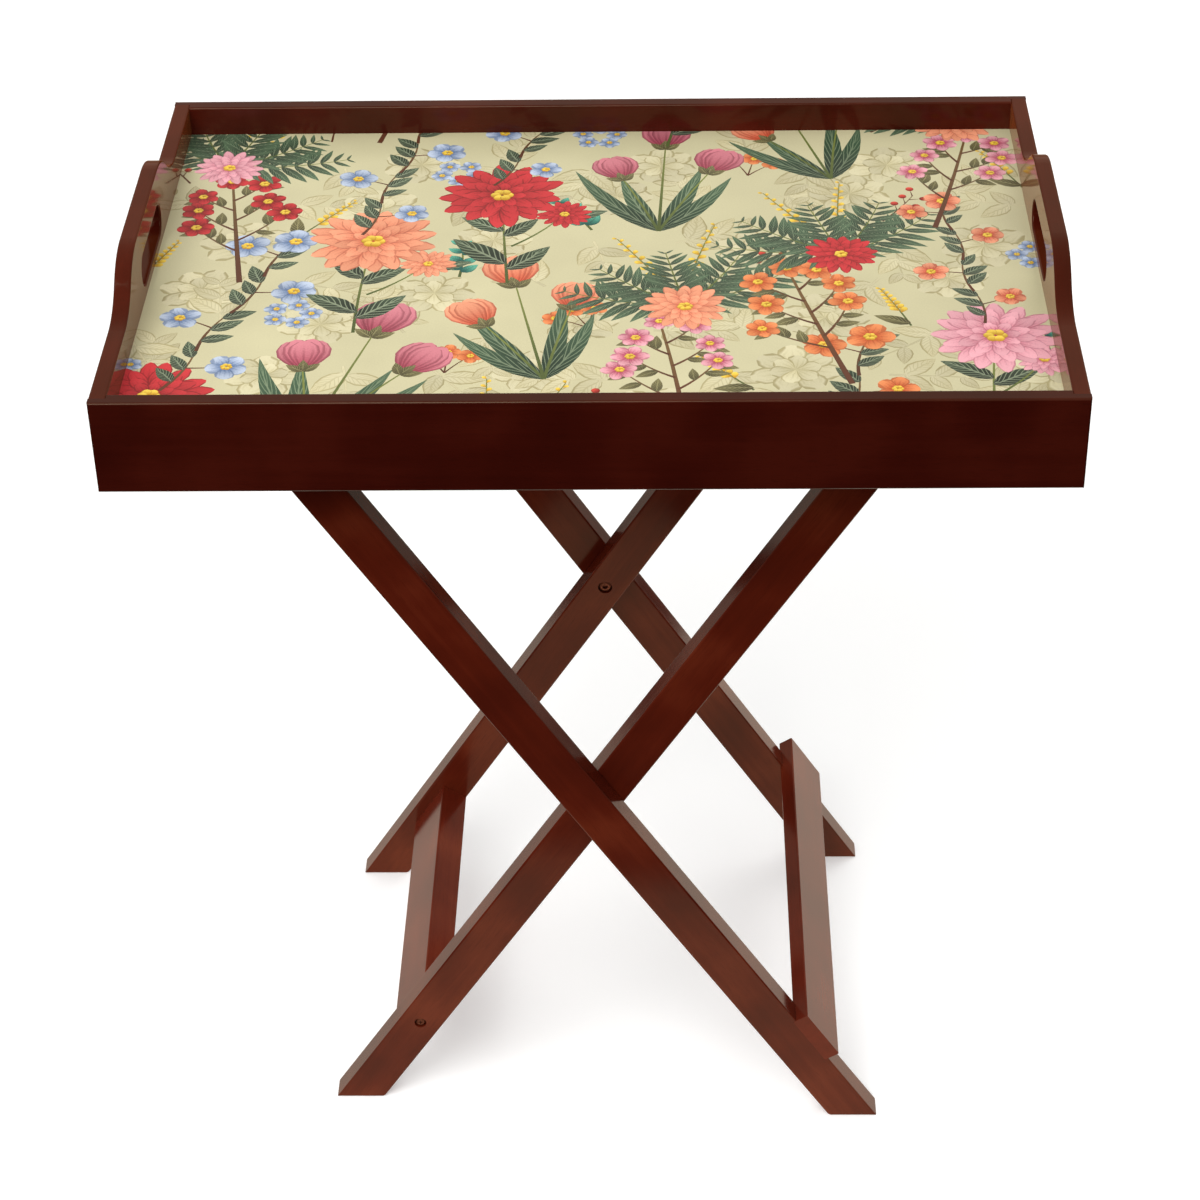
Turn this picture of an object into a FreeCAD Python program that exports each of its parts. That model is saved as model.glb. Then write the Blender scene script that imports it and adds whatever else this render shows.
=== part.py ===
import FreeCAD, Part
import os
import re

import Sketcher
from FreeCAD import Placement, Rotation, Vector

# A butler's tray table: a handled tray that lifts off a folding stand with crossed legs.
# Millimetres and degrees. X runs along the tray, Y from front to back and Z up.
# The origin is on the floor under the middle of the tray.
# The outer frame's legs run from top left to bottom right, the inner frame's the other way between them.

# Driving dimensions, one cell of the sheet each
SIZES = (
    ("tray_length", 610, "tray, outside, left to right"),
    ("tray_depth", 410, "tray, outside, front to back"),
    ("rim_height", 659, "floor to the rim"),
    ("wall_height", 65, "tray wall, top to bottom"),
    ("wall_thick", 11, "tray wall"),
    ("wall_ease", 1.5, "rounding of the tray's edges"),
    ("panel_drop", 21, "rim down to the printed face"),
    ("sheet_thick", 0.5, "printed sheet"),
    ("sheet_gap", 0.3, "printed sheet to wall"),
    ("board_thick", 6, "base board"),
    ("board_gap", 0.5, "edge of the board to the bottom of its groove"),
    ("groove_depth", 5, "groove for the board"),
    ("groove_play", 0.2, "slack under the board in its groove"),
    ("rebate_depth", 5, "corner rebate in the long walls"),
    ("hump_rise", 27.5, "handle hump above the rim"),
    ("hump_base", 236, "length of the hump where it leaves the rim"),
    ("hump_crown", 96, "length of the level top of the hump"),
    ("slot_length", 87, "hand slot, end to end"),
    ("slot_height", 22, "hand slot, top to bottom"),
    ("slot_drop", 15, "rim down to the lower edge of the hand slot"),
    ("slot_ease", 1.2, "rounding of the hand slot's edges"),
    ("pin_dia", 1.6, "corner pin"),
    ("pin_length", 30, "corner pin"),
    ("pin_cover", 1, "filler over a sunk corner pin"),
    ("pin_play", 0.05, "corner pin to its hole, each side"),
    ("pin_top_drop", 10, "rim down to the top pin"),
    ("pin_mid_drop", 40, "rim down to the middle pin"),
    ("pin_low_drop", 56, "rim down to the low pin"),
    ("stand_depth", 313, "outer frame, front to back"),
    ("top_inset", 86, "end of the tray to the middle of a leg's top"),
    ("foot_inset", 120.2, "end of the tray to the middle of a foot"),
    ("leg_width", 30, "leg, seen from the front"),
    ("leg_thick", 18.5, "leg, front to back"),
    ("leg_ease", 1.2, "rounding of a leg's long edges"),
    ("heel_round", 4, "rounding of the blunt corner of a foot"),
    ("stretcher_drop", 237.5, "pivots to the stretchers, down the leg"),
    ("stretcher_width", 45, "stretchers, along the leg"),
    ("rail_width", 44, "top rails, along the leg"),
    ("outer_bar_thick", 12, "bars of the outer frame"),
    ("inner_bar_thick", 22, "bars of the inner frame"),
    ("housing_depth", 2.5, "outer bars let into the legs"),
    ("back_overhang", 12, "outer stretcher past the back leg"),
    ("bar_ease", 1, "rounding of the bars' edges"),
    ("pivot_dia", 6, "pivot screw"),
    ("pivot_play", 0.08, "pivot screw in the inner leg, each side"),
    ("pivot_head_dia", 10, "head of the pivot screw"),
    ("pivot_head_thick", 3.2, "head of the pivot screw"),
    ("pivot_head_sink", 4.2, "recess for that head"),
    ("pivot_tip_gap", 1, "tip of the pivot screw to the end of its insert"),
    ("head_play", 0.4, "screw head to the side of its recess"),
    ("thread_play", 0.05, "threaded piece to its hole, each side"),
    ("insert_dia", 10, "threaded insert in the outer leg"),
    ("insert_length", 13, "threaded insert in the outer leg"),
    ("washer_dia", 20, "washer between the legs"),
    ("washer_thick", 0.8, "washer between the legs"),
    ("washer_play", 0.3, "washer to the pivot screw, each side"),
    ("screw_dia", 4, "wood screw"),
    ("screw_play", 0.2, "wood screw in its clearance hole, each side"),
    ("screw_head_dia", 8, "head of a wood screw"),
    ("screw_head_thick", 2.6, "head of a wood screw"),
    ("screw_sink", 3.5, "recess for a wood screw in an inner leg"),
    ("screw_grip", 32, "wood screw in the end of an inner bar"),
    ("screw_inset", 15, "upper edge of the inner stretcher down to its screws"),
    ("rail_screw_rise", 14, "lower edge of a top rail up to its screws"),
    ("deep_sink", 14, "recess for a wood screw in an outer leg"),
    ("outer_grip", 8.5, "wood screw in an outer bar"),
    ("hole_spare", 1, "hole past the tip of its screw, or past the face of a strap"),
    ("strap_width", 25, "webbing strap"),
    ("strap_thick", 1.6, "webbing strap"),
    ("strap_spacing", 120, "middle to middle of the straps"),
    ("strap_drop", 32, "top of the stand down to the taut strap"),
    ("strap_end_drop", 6, "top of the stand down to the strap's end"),
    ("strap_bend", 3, "inside radius of a strap's bend"),
    ("tack_drop", 17, "top of the stand down to the tacks"),
    ("tack_spacing", 12, "middle to middle of a pair of tacks"),
    ("tack_head_dia", 7, "tack"),
    ("tack_head_thick", 1.4, "tack"),
    ("tack_shank_dia", 1.8, "tack"),
    ("tack_length", 8, "tack under its head"),
    ("tack_play", 0.3, "tack to the hole in the strap, each side"),
)

# Sizes that follow from the driving ones, each a formula in its cell
DERIVED = (
    ("seat_height", "rim_height - panel_drop - sheet_thick - board_thick", "floor to the top of the stand"),
    ("top_reach", "tray_length / 2 - top_inset", "middle of the stand to the middle of a leg's top"),
    ("foot_reach", "tray_length / 2 - foot_inset", "middle of the stand to the middle of a foot"),
    ("leg_spread", "top_reach + foot_reach", "run of a leg from foot to top"),
    ("leg_angle", "atan(seat_height / leg_spread) / 1 deg", "slope of a leg from the floor"),
    ("pivot_height", "seat_height * foot_reach / leg_spread", "floor to the pivots"),
)
NAMES = {alias for alias, content, note in SIZES + DERIVED}
WORD = re.compile(r"[a-z_]+")
TOLERANCE = 1e-4

# Places worked out from the driving dimensions
WALL_FOOT = "(rim_height - wall_height)"
INNER_LENGTH = "(tray_length - 2 * wall_thick)"
INNER_DEPTH = "(tray_depth - 2 * wall_thick)"
END_REACH = "(tray_depth / 2 - wall_thick + rebate_depth)"
HALF_LEG = "(leg_width / 2)"
OUTER_LEG_Y = "(stand_depth / 2 - leg_thick / 2)"
INNER_LEG_Y = "(stand_depth / 2 - 1.5 * leg_thick - washer_thick)"
INNER_GAP = "(stand_depth - 4 * leg_thick - 2 * washer_thick)"
OUTER_INSIDE = "(stand_depth / 2 - leg_thick)"
INNER_OUTSIDE = "(stand_depth / 2 - leg_thick - washer_thick)"
STRETCHER_END = "(stretcher_drop + stretcher_width)"
STRETCHER_FACE = f"({HALF_LEG} - housing_depth)"
RAIL_FACE = f"(housing_depth - {HALF_LEG})"
INNER_BAR_FACE = f"(inner_bar_thick - {HALF_LEG})"
PIN_DROPS = ("pin_top_drop", "pin_mid_drop", "pin_low_drop")

doc = FreeCAD.newDocument("ButlersTrayTable")
sheet = doc.addObject("Spreadsheet::Sheet", "Sizes")
rows = [(alias, str(value), note) for alias, value, note in SIZES]
rows += [(alias, f"={formula}", note) for alias, formula, note in DERIVED]
for row, (alias, content, note) in enumerate(rows, start=1):
    sheet.set(f"A{row}", alias)
    sheet.set(f"B{row}", content)
    sheet.set(f"C{row}", note)
    sheet.setAlias(f"B{row}", alias)
doc.recompute()


# Values and expressions
def cell(text):
    """The expression with each size's name pointed at its cell."""
    return WORD.sub(lambda found: ("Sizes." if found.group() in NAMES else "") + found.group(), text)


def number(text):
    """What the expression comes to now."""
    return float(sheet.evalExpression(text))


def bind(thing, **sizes):
    """Bind the named properties of an object to expressions."""
    for name, text in sizes.items():
        thing.setExpression(name.replace("__", "."), cell(text))


def run_at(height, offset):
    """From the pivots up the leg to a height, at an offset across the leg."""
    return f"(({height} - pivot_height - {offset} * cos(leg_angle)) / sin(leg_angle))"


def seat_run(offset):
    """From the pivots up the leg to the top of the stand."""
    return run_at("seat_height", offset)


def floor_run(offset):
    """From the pivots down the leg to the floor."""
    return f"(-{run_at('0', offset)})"


def on_frame(outer, run, offset):
    """World X and Z of a point that far up the leg line of a frame and that far across it."""
    across = f"({offset} * sin(leg_angle) - {run} * cos(leg_angle))"
    x = across if outer else f"(-{across})"
    z = f"(pivot_height + {run} * sin(leg_angle) + {offset} * cos(leg_angle))"
    return x, z


RAIL_END = f"({seat_run('-' + HALF_LEG)} - rail_width)"


# Bodies, sketches and features
def new_body(label):
    """An empty body with a label."""
    body = doc.addObject("PartDesign::Body", label)
    body.Label = label
    return body


def origin_plane(body, role):
    """One of the body's origin planes, by its role."""
    return [item for item in body.Origin.OriginFeatures if item.Role == role][0]


def new_sketch(body, name, role, offset="0"):
    """An empty sketch on one of the body's origin planes, moved along the plane's normal."""
    sketch = body.newObject("Sketcher::SketchObject", name)
    sketch.AttachmentSupport = (origin_plane(body, role), [""])
    sketch.MapMode = "FlatFace"
    bind(sketch, AttachmentOffset__Base__z=offset)
    return sketch


def constrain(sketch, kind, text, *ends):
    """A dimension of the sketch, bound to an expression."""
    index = sketch.addConstraint(Sketcher.Constraint(kind, *ends, number(text)))
    sketch.setExpression(f"Constraints[{index}]", cell(text))


def fix_point(sketch, piece, end, place):
    """Hold a point of a piece at a place."""
    constrain(sketch, "DistanceX", place[0], -1, 1, piece, end)
    constrain(sketch, "DistanceY", place[1], -1, 1, piece, end)


def point(place):
    """A place's two expressions as a point of the sketch plane."""
    return Vector(number(place[0]), number(place[1]), 0)


def end_at(sketch, piece, place):
    """Which end of a piece is at a place; an arc counts its ends anticlockwise."""
    return 1 if sketch.getPoint(piece, 1).distanceToPoint(place) < TOLERANCE else 2


def draw_loop(sketch, corners, pieces):
    """Add a closed run of edges, each from its own corner to the next, and hold every corner at its place."""
    indexes = [sketch.addGeometry(piece, False) for piece in pieces]
    for before, piece, corner in zip(indexes[-1:] + indexes[:-1], indexes, corners):
        end = end_at(sketch, before, point(corner))
        start = end_at(sketch, piece, point(corner))
        sketch.addConstraint(Sketcher.Constraint("Coincident", before, end, piece, start))
        fix_point(sketch, piece, start, corner)


def draw_polygon(sketch, corners):
    """Draw straight edges from corner to corner."""
    places = [point(corner) for corner in corners]
    ends = places[1:] + places[:1]
    draw_loop(sketch, corners, [Part.LineSegment(a, b) for a, b in zip(places, ends)])


def draw_circle(sketch, centre, radius):
    """Draw a circle and hold its centre and radius."""
    circle = Part.Circle(point(centre), Vector(0, 0, 1), number(radius))
    index = sketch.addGeometry(circle, False)
    fix_point(sketch, index, 3, centre)
    constrain(sketch, "Radius", radius, index)


def rectangle(low_x, low_y, high_x, high_y):
    """The four corners of an upright rectangle."""
    return [(low_x, low_y), (high_x, low_y), (high_x, high_y), (low_x, high_y)]


def pad(body, sketch, length, back=None, symmetric=False):
    """Raise the sketch, one way, evenly both ways, or by a second length on its back."""
    feature = body.newObject("PartDesign::Pad", sketch.Name + "_pad")
    feature.Profile = sketch
    bind(feature, Length=length)
    if symmetric:
        feature.SideType = "Symmetric"
    if back:
        feature.SideType = "Two sides"
        bind(feature, Length2=back)
    doc.recompute()
    return feature


def cut(body, sketch, depth, symmetric=False):
    """Pocket the sketch to a depth, on the side of it where the solid is."""
    before = body.Shape.Volume
    feature = body.newObject("PartDesign::Pocket", sketch.Name + "_cut")
    feature.Profile = sketch
    bind(feature, Length=depth)
    if symmetric:
        feature.SideType = "Symmetric"
    doc.recompute()
    if body.Shape.Volume > before - TOLERANCE:
        feature.Reversed = True
        doc.recompute()
    if body.Shape.Volume > before - TOLERANCE:
        raise ValueError(f"{feature.Name} cuts nothing from {body.Label}")
    return feature


def drill(body, name, role, offset, holes, depth):
    """Round holes, each a centre and a radius, from one plane to one depth."""
    sketch = new_sketch(body, name, role, offset)
    for centre, radius in holes:
        draw_circle(sketch, centre, radius)
    return cut(body, sketch, depth)


def ease(body, name, radius, wanted):
    """Round the edges of the body that the test wants."""
    base = body.Tip
    chosen = [f"Edge{index}" for index, edge in enumerate(base.Shape.Edges, start=1) if wanted(edge)]
    feature = body.newObject("PartDesign::Fillet", name)
    feature.Base = (base, chosen)
    bind(feature, Radius=radius)
    doc.recompute()
    return feature


def runs_along(edge, axis):
    """Whether an edge is straight and parallel to an axis."""
    if not isinstance(edge.Curve, Part.Line):
        return False
    return abs(abs(edge.Curve.Direction.dot(axis)) - 1) < TOLERANCE


def same(value, text):
    """Whether a measured value is what the expression comes to."""
    return abs(value - number(text)) < TOLERANCE


def at_corners(corners):
    """A test for the edges across the stand that start at some corners of a section."""
    places = [point(corner) for corner in corners]

    def wanted(edge):
        middle = Vector(edge.CenterOfMass.x, edge.CenterOfMass.z, 0)
        near = [place for place in places if middle.distanceToPoint(place) < TOLERANCE]
        return runs_along(edge, Y_AXIS) and bool(near)

    return wanted


def repeat_behind(body, pocket):
    """Repeat a pocket on the other side of the body's upright middle plane."""
    mirrored = body.newObject("PartDesign::Mirrored", body.Label + "_both_ends")
    mirrored.Originals = [pocket]
    mirrored.MirrorPlane = (origin_plane(body, "XZ_Plane"), [""])
    body.Tip = mirrored
    doc.recompute()


def turn(body, name, corners):
    """A turned solid: the half section in X and Z, spun about Z."""
    sketch = new_sketch(body, name, "XZ_Plane")
    draw_polygon(sketch, corners)
    feature = body.newObject("PartDesign::Revolution", name + "_turned")
    feature.Profile = sketch
    feature.ReferenceAxis = (sketch, ["V_Axis"])
    feature.Angle = 360
    doc.recompute()
    return body


def stand_at(thing, axis, angle, x="0", y="0", z="0"):
    """Turn an object by a fixed angle about an axis and bind its place."""
    thing.Placement = Placement(Vector(0, 0, 0), Rotation(axis, angle))
    bind(thing, Placement__Base__x=x, Placement__Base__y=y, Placement__Base__z=z)


def group(label, members):
    """Separate like solids kept together as one piece."""
    compound = doc.addObject("Part::Compound", label)
    compound.Label = label
    compound.Links = members
    return compound


X_AXIS = Vector(1, 0, 0)
Y_AXIS = Vector(0, 1, 0)
Z_AXIS = Vector(0, 0, 1)


# Tray walls
def groove(body, role, length):
    """The groove for the board, on the wall's inner face."""
    sketch = new_sketch(body, body.Label + "_groove", role)
    board_top = "seat_height + board_thick"
    draw_polygon(sketch, rectangle("0", "seat_height - groove_play", "groove_depth", board_top))
    cut(body, sketch, length, symmetric=True)


def long_wall(label, about_face):
    """Front or back wall: its inner face on Y = 0, with a rebate for each handle end."""
    body = new_body(label)
    plan = new_sketch(body, label + "_plan", "XY_Plane", WALL_FOOT)
    half = "tray_length / 2"
    inside = f"({INNER_LENGTH} / 2)"
    corners = [
        (f"-{half}", "wall_thick"),
        (f"-{half}", "rebate_depth"),
        (f"-{inside}", "rebate_depth"),
        (f"-{inside}", "0"),
        (inside, "0"),
        (inside, "rebate_depth"),
        (half, "rebate_depth"),
        (half, "wall_thick"),
    ]
    draw_polygon(plan, corners)
    pad(body, plan, "wall_height")

    def outer_or_top(edge):
        middle = edge.CenterOfMass
        if runs_along(edge, Z_AXIS):
            return same(abs(middle.x), half) and same(middle.y, "wall_thick")
        outside = same(middle.y, "wall_thick")
        inner_top = same(middle.y, "0") and same(middle.z, "rim_height")
        return runs_along(edge, X_AXIS) and (outside or inner_top)

    ease(body, label + "_eased", "wall_ease", outer_or_top)
    groove(body, "YZ_Plane", INNER_LENGTH)
    pin_x = "(tray_length / 2 - wall_thick / 2)"
    holes = [
        ((f"{sign}{pin_x}", f"rim_height - {drop}"), "pin_dia / 2 + pin_play")
        for sign in ("-", "")
        for drop in PIN_DROPS
    ]
    depth = "wall_thick - rebate_depth - pin_cover"
    drill(body, label + "_pin_holes", "XZ_Plane", "-rebate_depth", holes, depth)
    sign = "-" if about_face else ""
    stand_at(body, Z_AXIS, 180 if about_face else 0, y=f"{sign}{INNER_DEPTH} / 2")
    return body


def handle_outline(sketch):
    """Side of a handle end: level rim, a reverse curve up each side of the hump and its level crown."""
    reach = END_REACH
    base = "hump_base / 2"
    crown = "hump_crown / 2"
    bend = "(hump_base + hump_crown) / 4"
    top = "rim_height + hump_rise"
    half_up = "rim_height + hump_rise / 2"
    corners = [
        (f"-{reach}", WALL_FOOT),
        (reach, WALL_FOOT),
        (reach, "rim_height"),
        (base, "rim_height"),
        (bend, half_up),
        (crown, top),
        (f"-{crown}", top),
        (f"-{bend}", half_up),
        (f"-{base}", "rim_height"),
        (f"-{reach}", "rim_height"),
    ]
    places = [point(corner) for corner in corners]
    run = number(f"{base} - {crown}")
    rise = number("hump_rise")
    radius = (run**2 + rise**2) / (4 * rise)

    def bow(start, end, centre):
        """The arc between two corners about a centre on the vertical through one of them."""
        outward = (start + end) / 2 - centre
        return Part.Arc(start, centre + outward.normalize() * radius, end)

    pieces = [Part.LineSegment(a, b) for a, b in zip(places, places[1:] + places[:1])]
    up = Vector(0, radius, 0)
    # The corners where each side of the hump leaves the rim and reaches the crown
    for low, high in ((3, 5), (8, 6)):
        first, last = min(low, high), max(low, high)
        centres = {low: places[low] + up, high: places[high] - up}
        pieces[first] = bow(places[first], places[first + 1], centres[first])
        pieces[last - 1] = bow(places[last - 1], places[last], centres[last])
    draw_loop(sketch, corners, pieces)
    for arc, above in ((3, base), (4, crown), (6, f"-{crown}"), (7, f"-{base}")):
        constrain(sketch, "DistanceX", above, -1, 1, arc, 3)


def hand_slot(sketch):
    """The round-ended hand slot."""
    radius = "(slot_height / 2)"
    reach = f"(slot_length / 2 - {radius})"
    low = "rim_height - slot_drop"
    high = f"{low} + slot_height"
    middle = f"{low} + {radius}"
    corners = [(f"-{reach}", low), (reach, low), (reach, high), (f"-{reach}", high)]
    a, b, c, d = (point(corner) for corner in corners)
    right_end = point(("slot_length / 2", middle))
    left_end = point(("-slot_length / 2", middle))
    pieces = [
        Part.LineSegment(a, b),
        Part.Arc(b, right_end, c),
        Part.LineSegment(c, d),
        Part.Arc(d, left_end, a),
    ]
    draw_loop(sketch, corners, pieces)
    constrain(sketch, "DistanceX", reach, -1, 1, 1, 3)
    constrain(sketch, "DistanceX", f"-{reach}", -1, 1, 3, 3)


def handle_end(label, about_face):
    """Left or right wall: its inner face on X = 0, with the handle hump, hand slot and pin holes."""
    body = new_body(label)
    side = new_sketch(body, label + "_side", "YZ_Plane")
    handle_outline(side)
    pad(body, side, "wall_thick")
    slot = new_sketch(body, label + "_slot", "YZ_Plane")
    hand_slot(slot)
    cut(body, slot, "wall_thick")

    def on_slot(edge):
        box = edge.BoundBox
        half = number("slot_length / 2") + TOLERANCE
        low = number("rim_height - slot_drop") - TOLERANCE
        high = number("rim_height - slot_drop + slot_height") + TOLERANCE
        in_length = -half < box.YMin and box.YMax < half
        in_height = low < box.ZMin and box.ZMax < high
        return box.XLength < TOLERANCE and in_length and in_height

    ease(body, label + "_slot_eased", "slot_ease", on_slot)

    def on_top(edge):
        box = edge.BoundBox
        return box.XLength < TOLERANCE and box.ZMin > number("rim_height") - TOLERANCE and (
            same(box.XMax, "wall_thick") or same(box.XMin, "0")
        )

    ease(body, label + "_top_eased", "wall_ease", on_top)
    groove(body, "XZ_Plane", "tray_depth")
    holes = [(("wall_thick / 2", f"rim_height - {drop}"), "pin_dia / 2 + pin_play") for drop in PIN_DROPS]
    depth = "pin_length + pin_cover - wall_thick + rebate_depth + hole_spare"
    pocket = drill(body, label + "_pin_holes", "XZ_Plane", END_REACH, holes, depth)
    repeat_behind(body, pocket)
    sign = "-" if about_face else ""
    stand_at(body, Z_AXIS, 180 if about_face else 0, x=f"{sign}{INNER_LENGTH} / 2")
    return body


def flat_sheet(label, length, depth, thickness, height):
    """A flat rectangular sheet, centred, at a height."""
    box = doc.addObject("Part::Box", label)
    box.Label = label
    bind(box, Length=length, Width=depth, Height=thickness)
    stand_at(box, Z_AXIS, 0, x=f"-({length}) / 2", y=f"-({depth}) / 2", z=height)
    return box


def corner_pins(label):
    """Three pins at each corner of the tray, driven through the long walls into the handle ends."""
    pins = []
    for across in ("-", ""):
        for front in (True, False):
            for drop in PIN_DROPS:
                pin = doc.addObject("Part::Cylinder", "corner_pin")
                bind(pin, Radius="pin_dia / 2", Height="pin_length")
                sign = "-" if front else ""
                stand_at(
                    pin,
                    X_AXIS,
                    -90 if front else 90,
                    x=f"{across}(tray_length / 2 - wall_thick / 2)",
                    y=f"{sign}(tray_depth / 2 - pin_cover)",
                    z=f"rim_height - {drop}",
                )
                pins.append(pin)
    return group(label, pins)


# Frames of the stand: X of a piece runs along its legs, down on the outer frame and up on the inner one
def join_frame(thing, outer, y="0"):
    """Place a piece on the leg line of its frame."""
    stand_at(thing, Y_AXIS if outer else -Y_AXIS, 1, y=y, z="pivot_height")
    bind(thing, Placement__Rotation__Angle="leg_angle")


def section_bar(label, outer, corners, length, back=None):
    """A bar with a section in the plane of the legs, across the stand."""
    body = new_body(label)
    sketch = new_sketch(body, label + "_section", "XZ_Plane")
    draw_polygon(sketch, corners)
    pad(body, sketch, length, back, symmetric=back is None)
    ease(body, label + "_eased", "bar_ease", lambda edge: runs_along(edge, Y_AXIS))
    join_frame(body, outer)
    return body


def leg(label, outer, front, corners):
    """A leg with its long edges eased and the blunt corner of its foot rounded."""
    body = new_body(label)
    sketch = new_sketch(body, label + "_side", "XZ_Plane")
    draw_polygon(sketch, corners)
    pad(body, sketch, "leg_thick", symmetric=True)

    def on_long_edge(edge):
        return runs_along(edge, X_AXIS) and same(abs(edge.CenterOfMass.z), HALF_LEG)

    ease(body, label + "_heel", "heel_round", at_corners(corners[:1]))
    ease(body, label + "_eased", "leg_ease", on_long_edge)
    place = OUTER_LEG_Y if outer else INNER_LEG_Y
    join_frame(body, outer, y=("-" if front else "") + place)
    return body


def face_offset(front, inside):
    """Sketch offset that reaches a leg's inner or outer face."""
    towards_back = front == inside
    return ("-" if towards_back else "") + "leg_thick / 2"


OUTER_SCREW_RUN = "(stretcher_drop + stretcher_width / 2)"
RAIL_SCREW_RUN = f"({RAIL_END} + rail_screw_rise)"


def outer_leg(label, front):
    """Leg of the outer frame, notched for the stretcher and the top rail."""
    under = f"-{HALF_LEG}"
    over = HALF_LEG
    corners = [
        (floor_run(under), under),
        (floor_run(over), over),
        (STRETCHER_END, over),
        (STRETCHER_END, STRETCHER_FACE),
        ("stretcher_drop", STRETCHER_FACE),
        ("stretcher_drop", over),
        (f"-{seat_run(over)}", over),
        (f"-{seat_run(RAIL_FACE)}", RAIL_FACE),
        (f"-{RAIL_END}", RAIL_FACE),
        (f"-{RAIL_END}", under),
    ]
    body = leg(label, True, front, corners)
    inside = face_offset(front, inside=True)
    insert = [(("0", "0"), "insert_dia / 2 + thread_play")]
    drill(body, label + "_insert_hole", "XZ_Plane", inside, insert, "insert_length")
    head = "screw_head_dia / 2 + head_play"
    shank = "screw_dia / 2 + screw_play"
    for name, run, face in (("stretcher", OUTER_SCREW_RUN, under), ("rail", f"-{RAIL_SCREW_RUN}", over)):
        drill(body, f"{label}_{name}_sink", "XY_Plane", face, [((run, "0"), head)], "deep_sink")
        drill(body, f"{label}_{name}_hole", "XY_Plane", face, [((run, "0"), shank)], "leg_width")
    return body


def inner_leg(label, front):
    """Leg of the inner frame, bored for the pivot screw and the screws of its bars."""
    under = f"-{HALF_LEG}"
    over = HALF_LEG
    corners = [
        (f"-{floor_run(under)}", under),
        (f"-{floor_run(over)}", over),
        (seat_run(over), over),
        (seat_run(under), under),
    ]
    body = leg(label, False, front, corners)
    inside = face_offset(front, inside=True)
    outside = face_offset(front, inside=False)
    pivot = ("0", "0")
    screws = [("-(stretcher_drop + screw_inset)", "0"), (RAIL_SCREW_RUN, "0")]
    recess = [(pivot, "pivot_head_dia / 2 + head_play")]
    drill(body, label + "_pivot_sink", "XZ_Plane", inside, recess, "pivot_head_sink")
    sinks = [(place, "screw_head_dia / 2 + head_play") for place in screws]
    drill(body, label + "_screw_sinks", "XZ_Plane", outside, sinks, "screw_sink")
    holes = [(pivot, "pivot_dia / 2 + pivot_play")]
    holes += [(place, "screw_dia / 2 + screw_play") for place in screws]
    drill(body, label + "_holes", "XZ_Plane", outside, holes, "leg_thick")
    return body


# Fasteners: each is turned about its own Z, with the seat of its head at zero and its tip up
def headed_pin(label, head_dia, head_thick, shank_dia, length):
    """A turned pin with a flat head."""
    corners = [
        ("0", f"-{head_thick}"),
        (f"{head_dia} / 2", f"-{head_thick}"),
        (f"{head_dia} / 2", "0"),
        (f"{shank_dia} / 2", "0"),
        (f"{shank_dia} / 2", length),
        ("0", length),
    ]
    return turn(new_body(label), label + "_section", corners)


def ring(label, bore, dia, length):
    """A turned ring, by the radius of its bore and its outside diameter."""
    return turn(new_body(label), label + "_section", rectangle(bore, "0", f"{dia} / 2", length))


def on_pivot(thing, front, reach, outwards):
    """Lay a turned piece on a pivot's axis, that far from the middle of the stand."""
    angle = 90 if front == outwards else -90
    stand_at(thing, X_AXIS, angle, y=("-" if front else "") + reach, z="pivot_height")
    return thing


def pivot_pieces():
    """The screws that hold the frames together, the washers between the legs and the threaded inserts."""
    screws, washers, inserts = [], [], []
    length = "leg_thick - pivot_head_sink + washer_thick + insert_length - pivot_tip_gap"
    for front in (True, False):
        screw = headed_pin("pivot_screw", "pivot_head_dia", "pivot_head_thick", "pivot_dia", length)
        screws.append(on_pivot(screw, front, f"({INNER_GAP} / 2 + pivot_head_sink)", outwards=True))
        washer = ring("pivot_washer", "pivot_dia / 2 + washer_play", "washer_dia", "washer_thick")
        washers.append(on_pivot(washer, front, INNER_OUTSIDE, outwards=True))
        insert = ring("pivot_insert", "pivot_dia / 2 + thread_play", "insert_dia", "insert_length")
        inserts.append(on_pivot(insert, front, OUTER_INSIDE, outwards=True))
    return [group("pivot_screws", screws), group("pivot_washers", washers), group("pivot_inserts", inserts)]


def wood_screw(label, length):
    """A wood screw of a length under its head."""
    return headed_pin(label, "screw_head_dia", "screw_head_thick", "screw_dia", length)


def inner_screws(label, run):
    """Screws through the two inner legs into the ends of a bar."""
    screws = []
    x, z = on_frame(False, run, "0")
    for front in (True, False):
        screw = wood_screw(label + "_one", "leg_thick - screw_sink + screw_grip")
        y = ("-" if front else "") + f"({INNER_OUTSIDE} - screw_sink)"
        stand_at(screw, X_AXIS, -90 if front else 90, x=x, y=y, z=z)
        screws.append(screw)
    return group(label, screws)


def outer_screws(label, run, upwards):
    """Screws through the two outer legs into a bar let into their edges."""
    screws = []
    seat = f"(deep_sink - {HALF_LEG})" if upwards else f"({HALF_LEG} - deep_sink)"
    x, z = on_frame(True, run, seat)
    for front in (True, False):
        screw = wood_screw(label + "_one", "leg_width - housing_depth - deep_sink + outer_grip")
        stand_at(screw, Y_AXIS, 1, x=x, y=("-" if front else "") + OUTER_LEG_Y, z=z)
        bind(screw, Placement__Rotation__Angle="leg_angle" if upwards else "180 + leg_angle")
        screws.append(screw)
    return group(label, screws)


# Straps between the top rails
STRAP_FACES = {True: RAIL_FACE, False: INNER_BAR_FACE}
STRAP_Y = {"front_strap": "-strap_spacing / 2", "back_strap": "strap_spacing / 2"}


def tack_run(outer):
    """From the pivots up the leg to the tacks."""
    return run_at("(seat_height - tack_drop)", f"({STRAP_FACES[outer]} + strap_thick)")


def tack_rows(*straps):
    """Where the tacks of the straps are across the stand."""
    return [f"({STRAP_Y[label]} {sign} tack_spacing / 2)" for label in straps for sign in "-+"]


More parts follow.
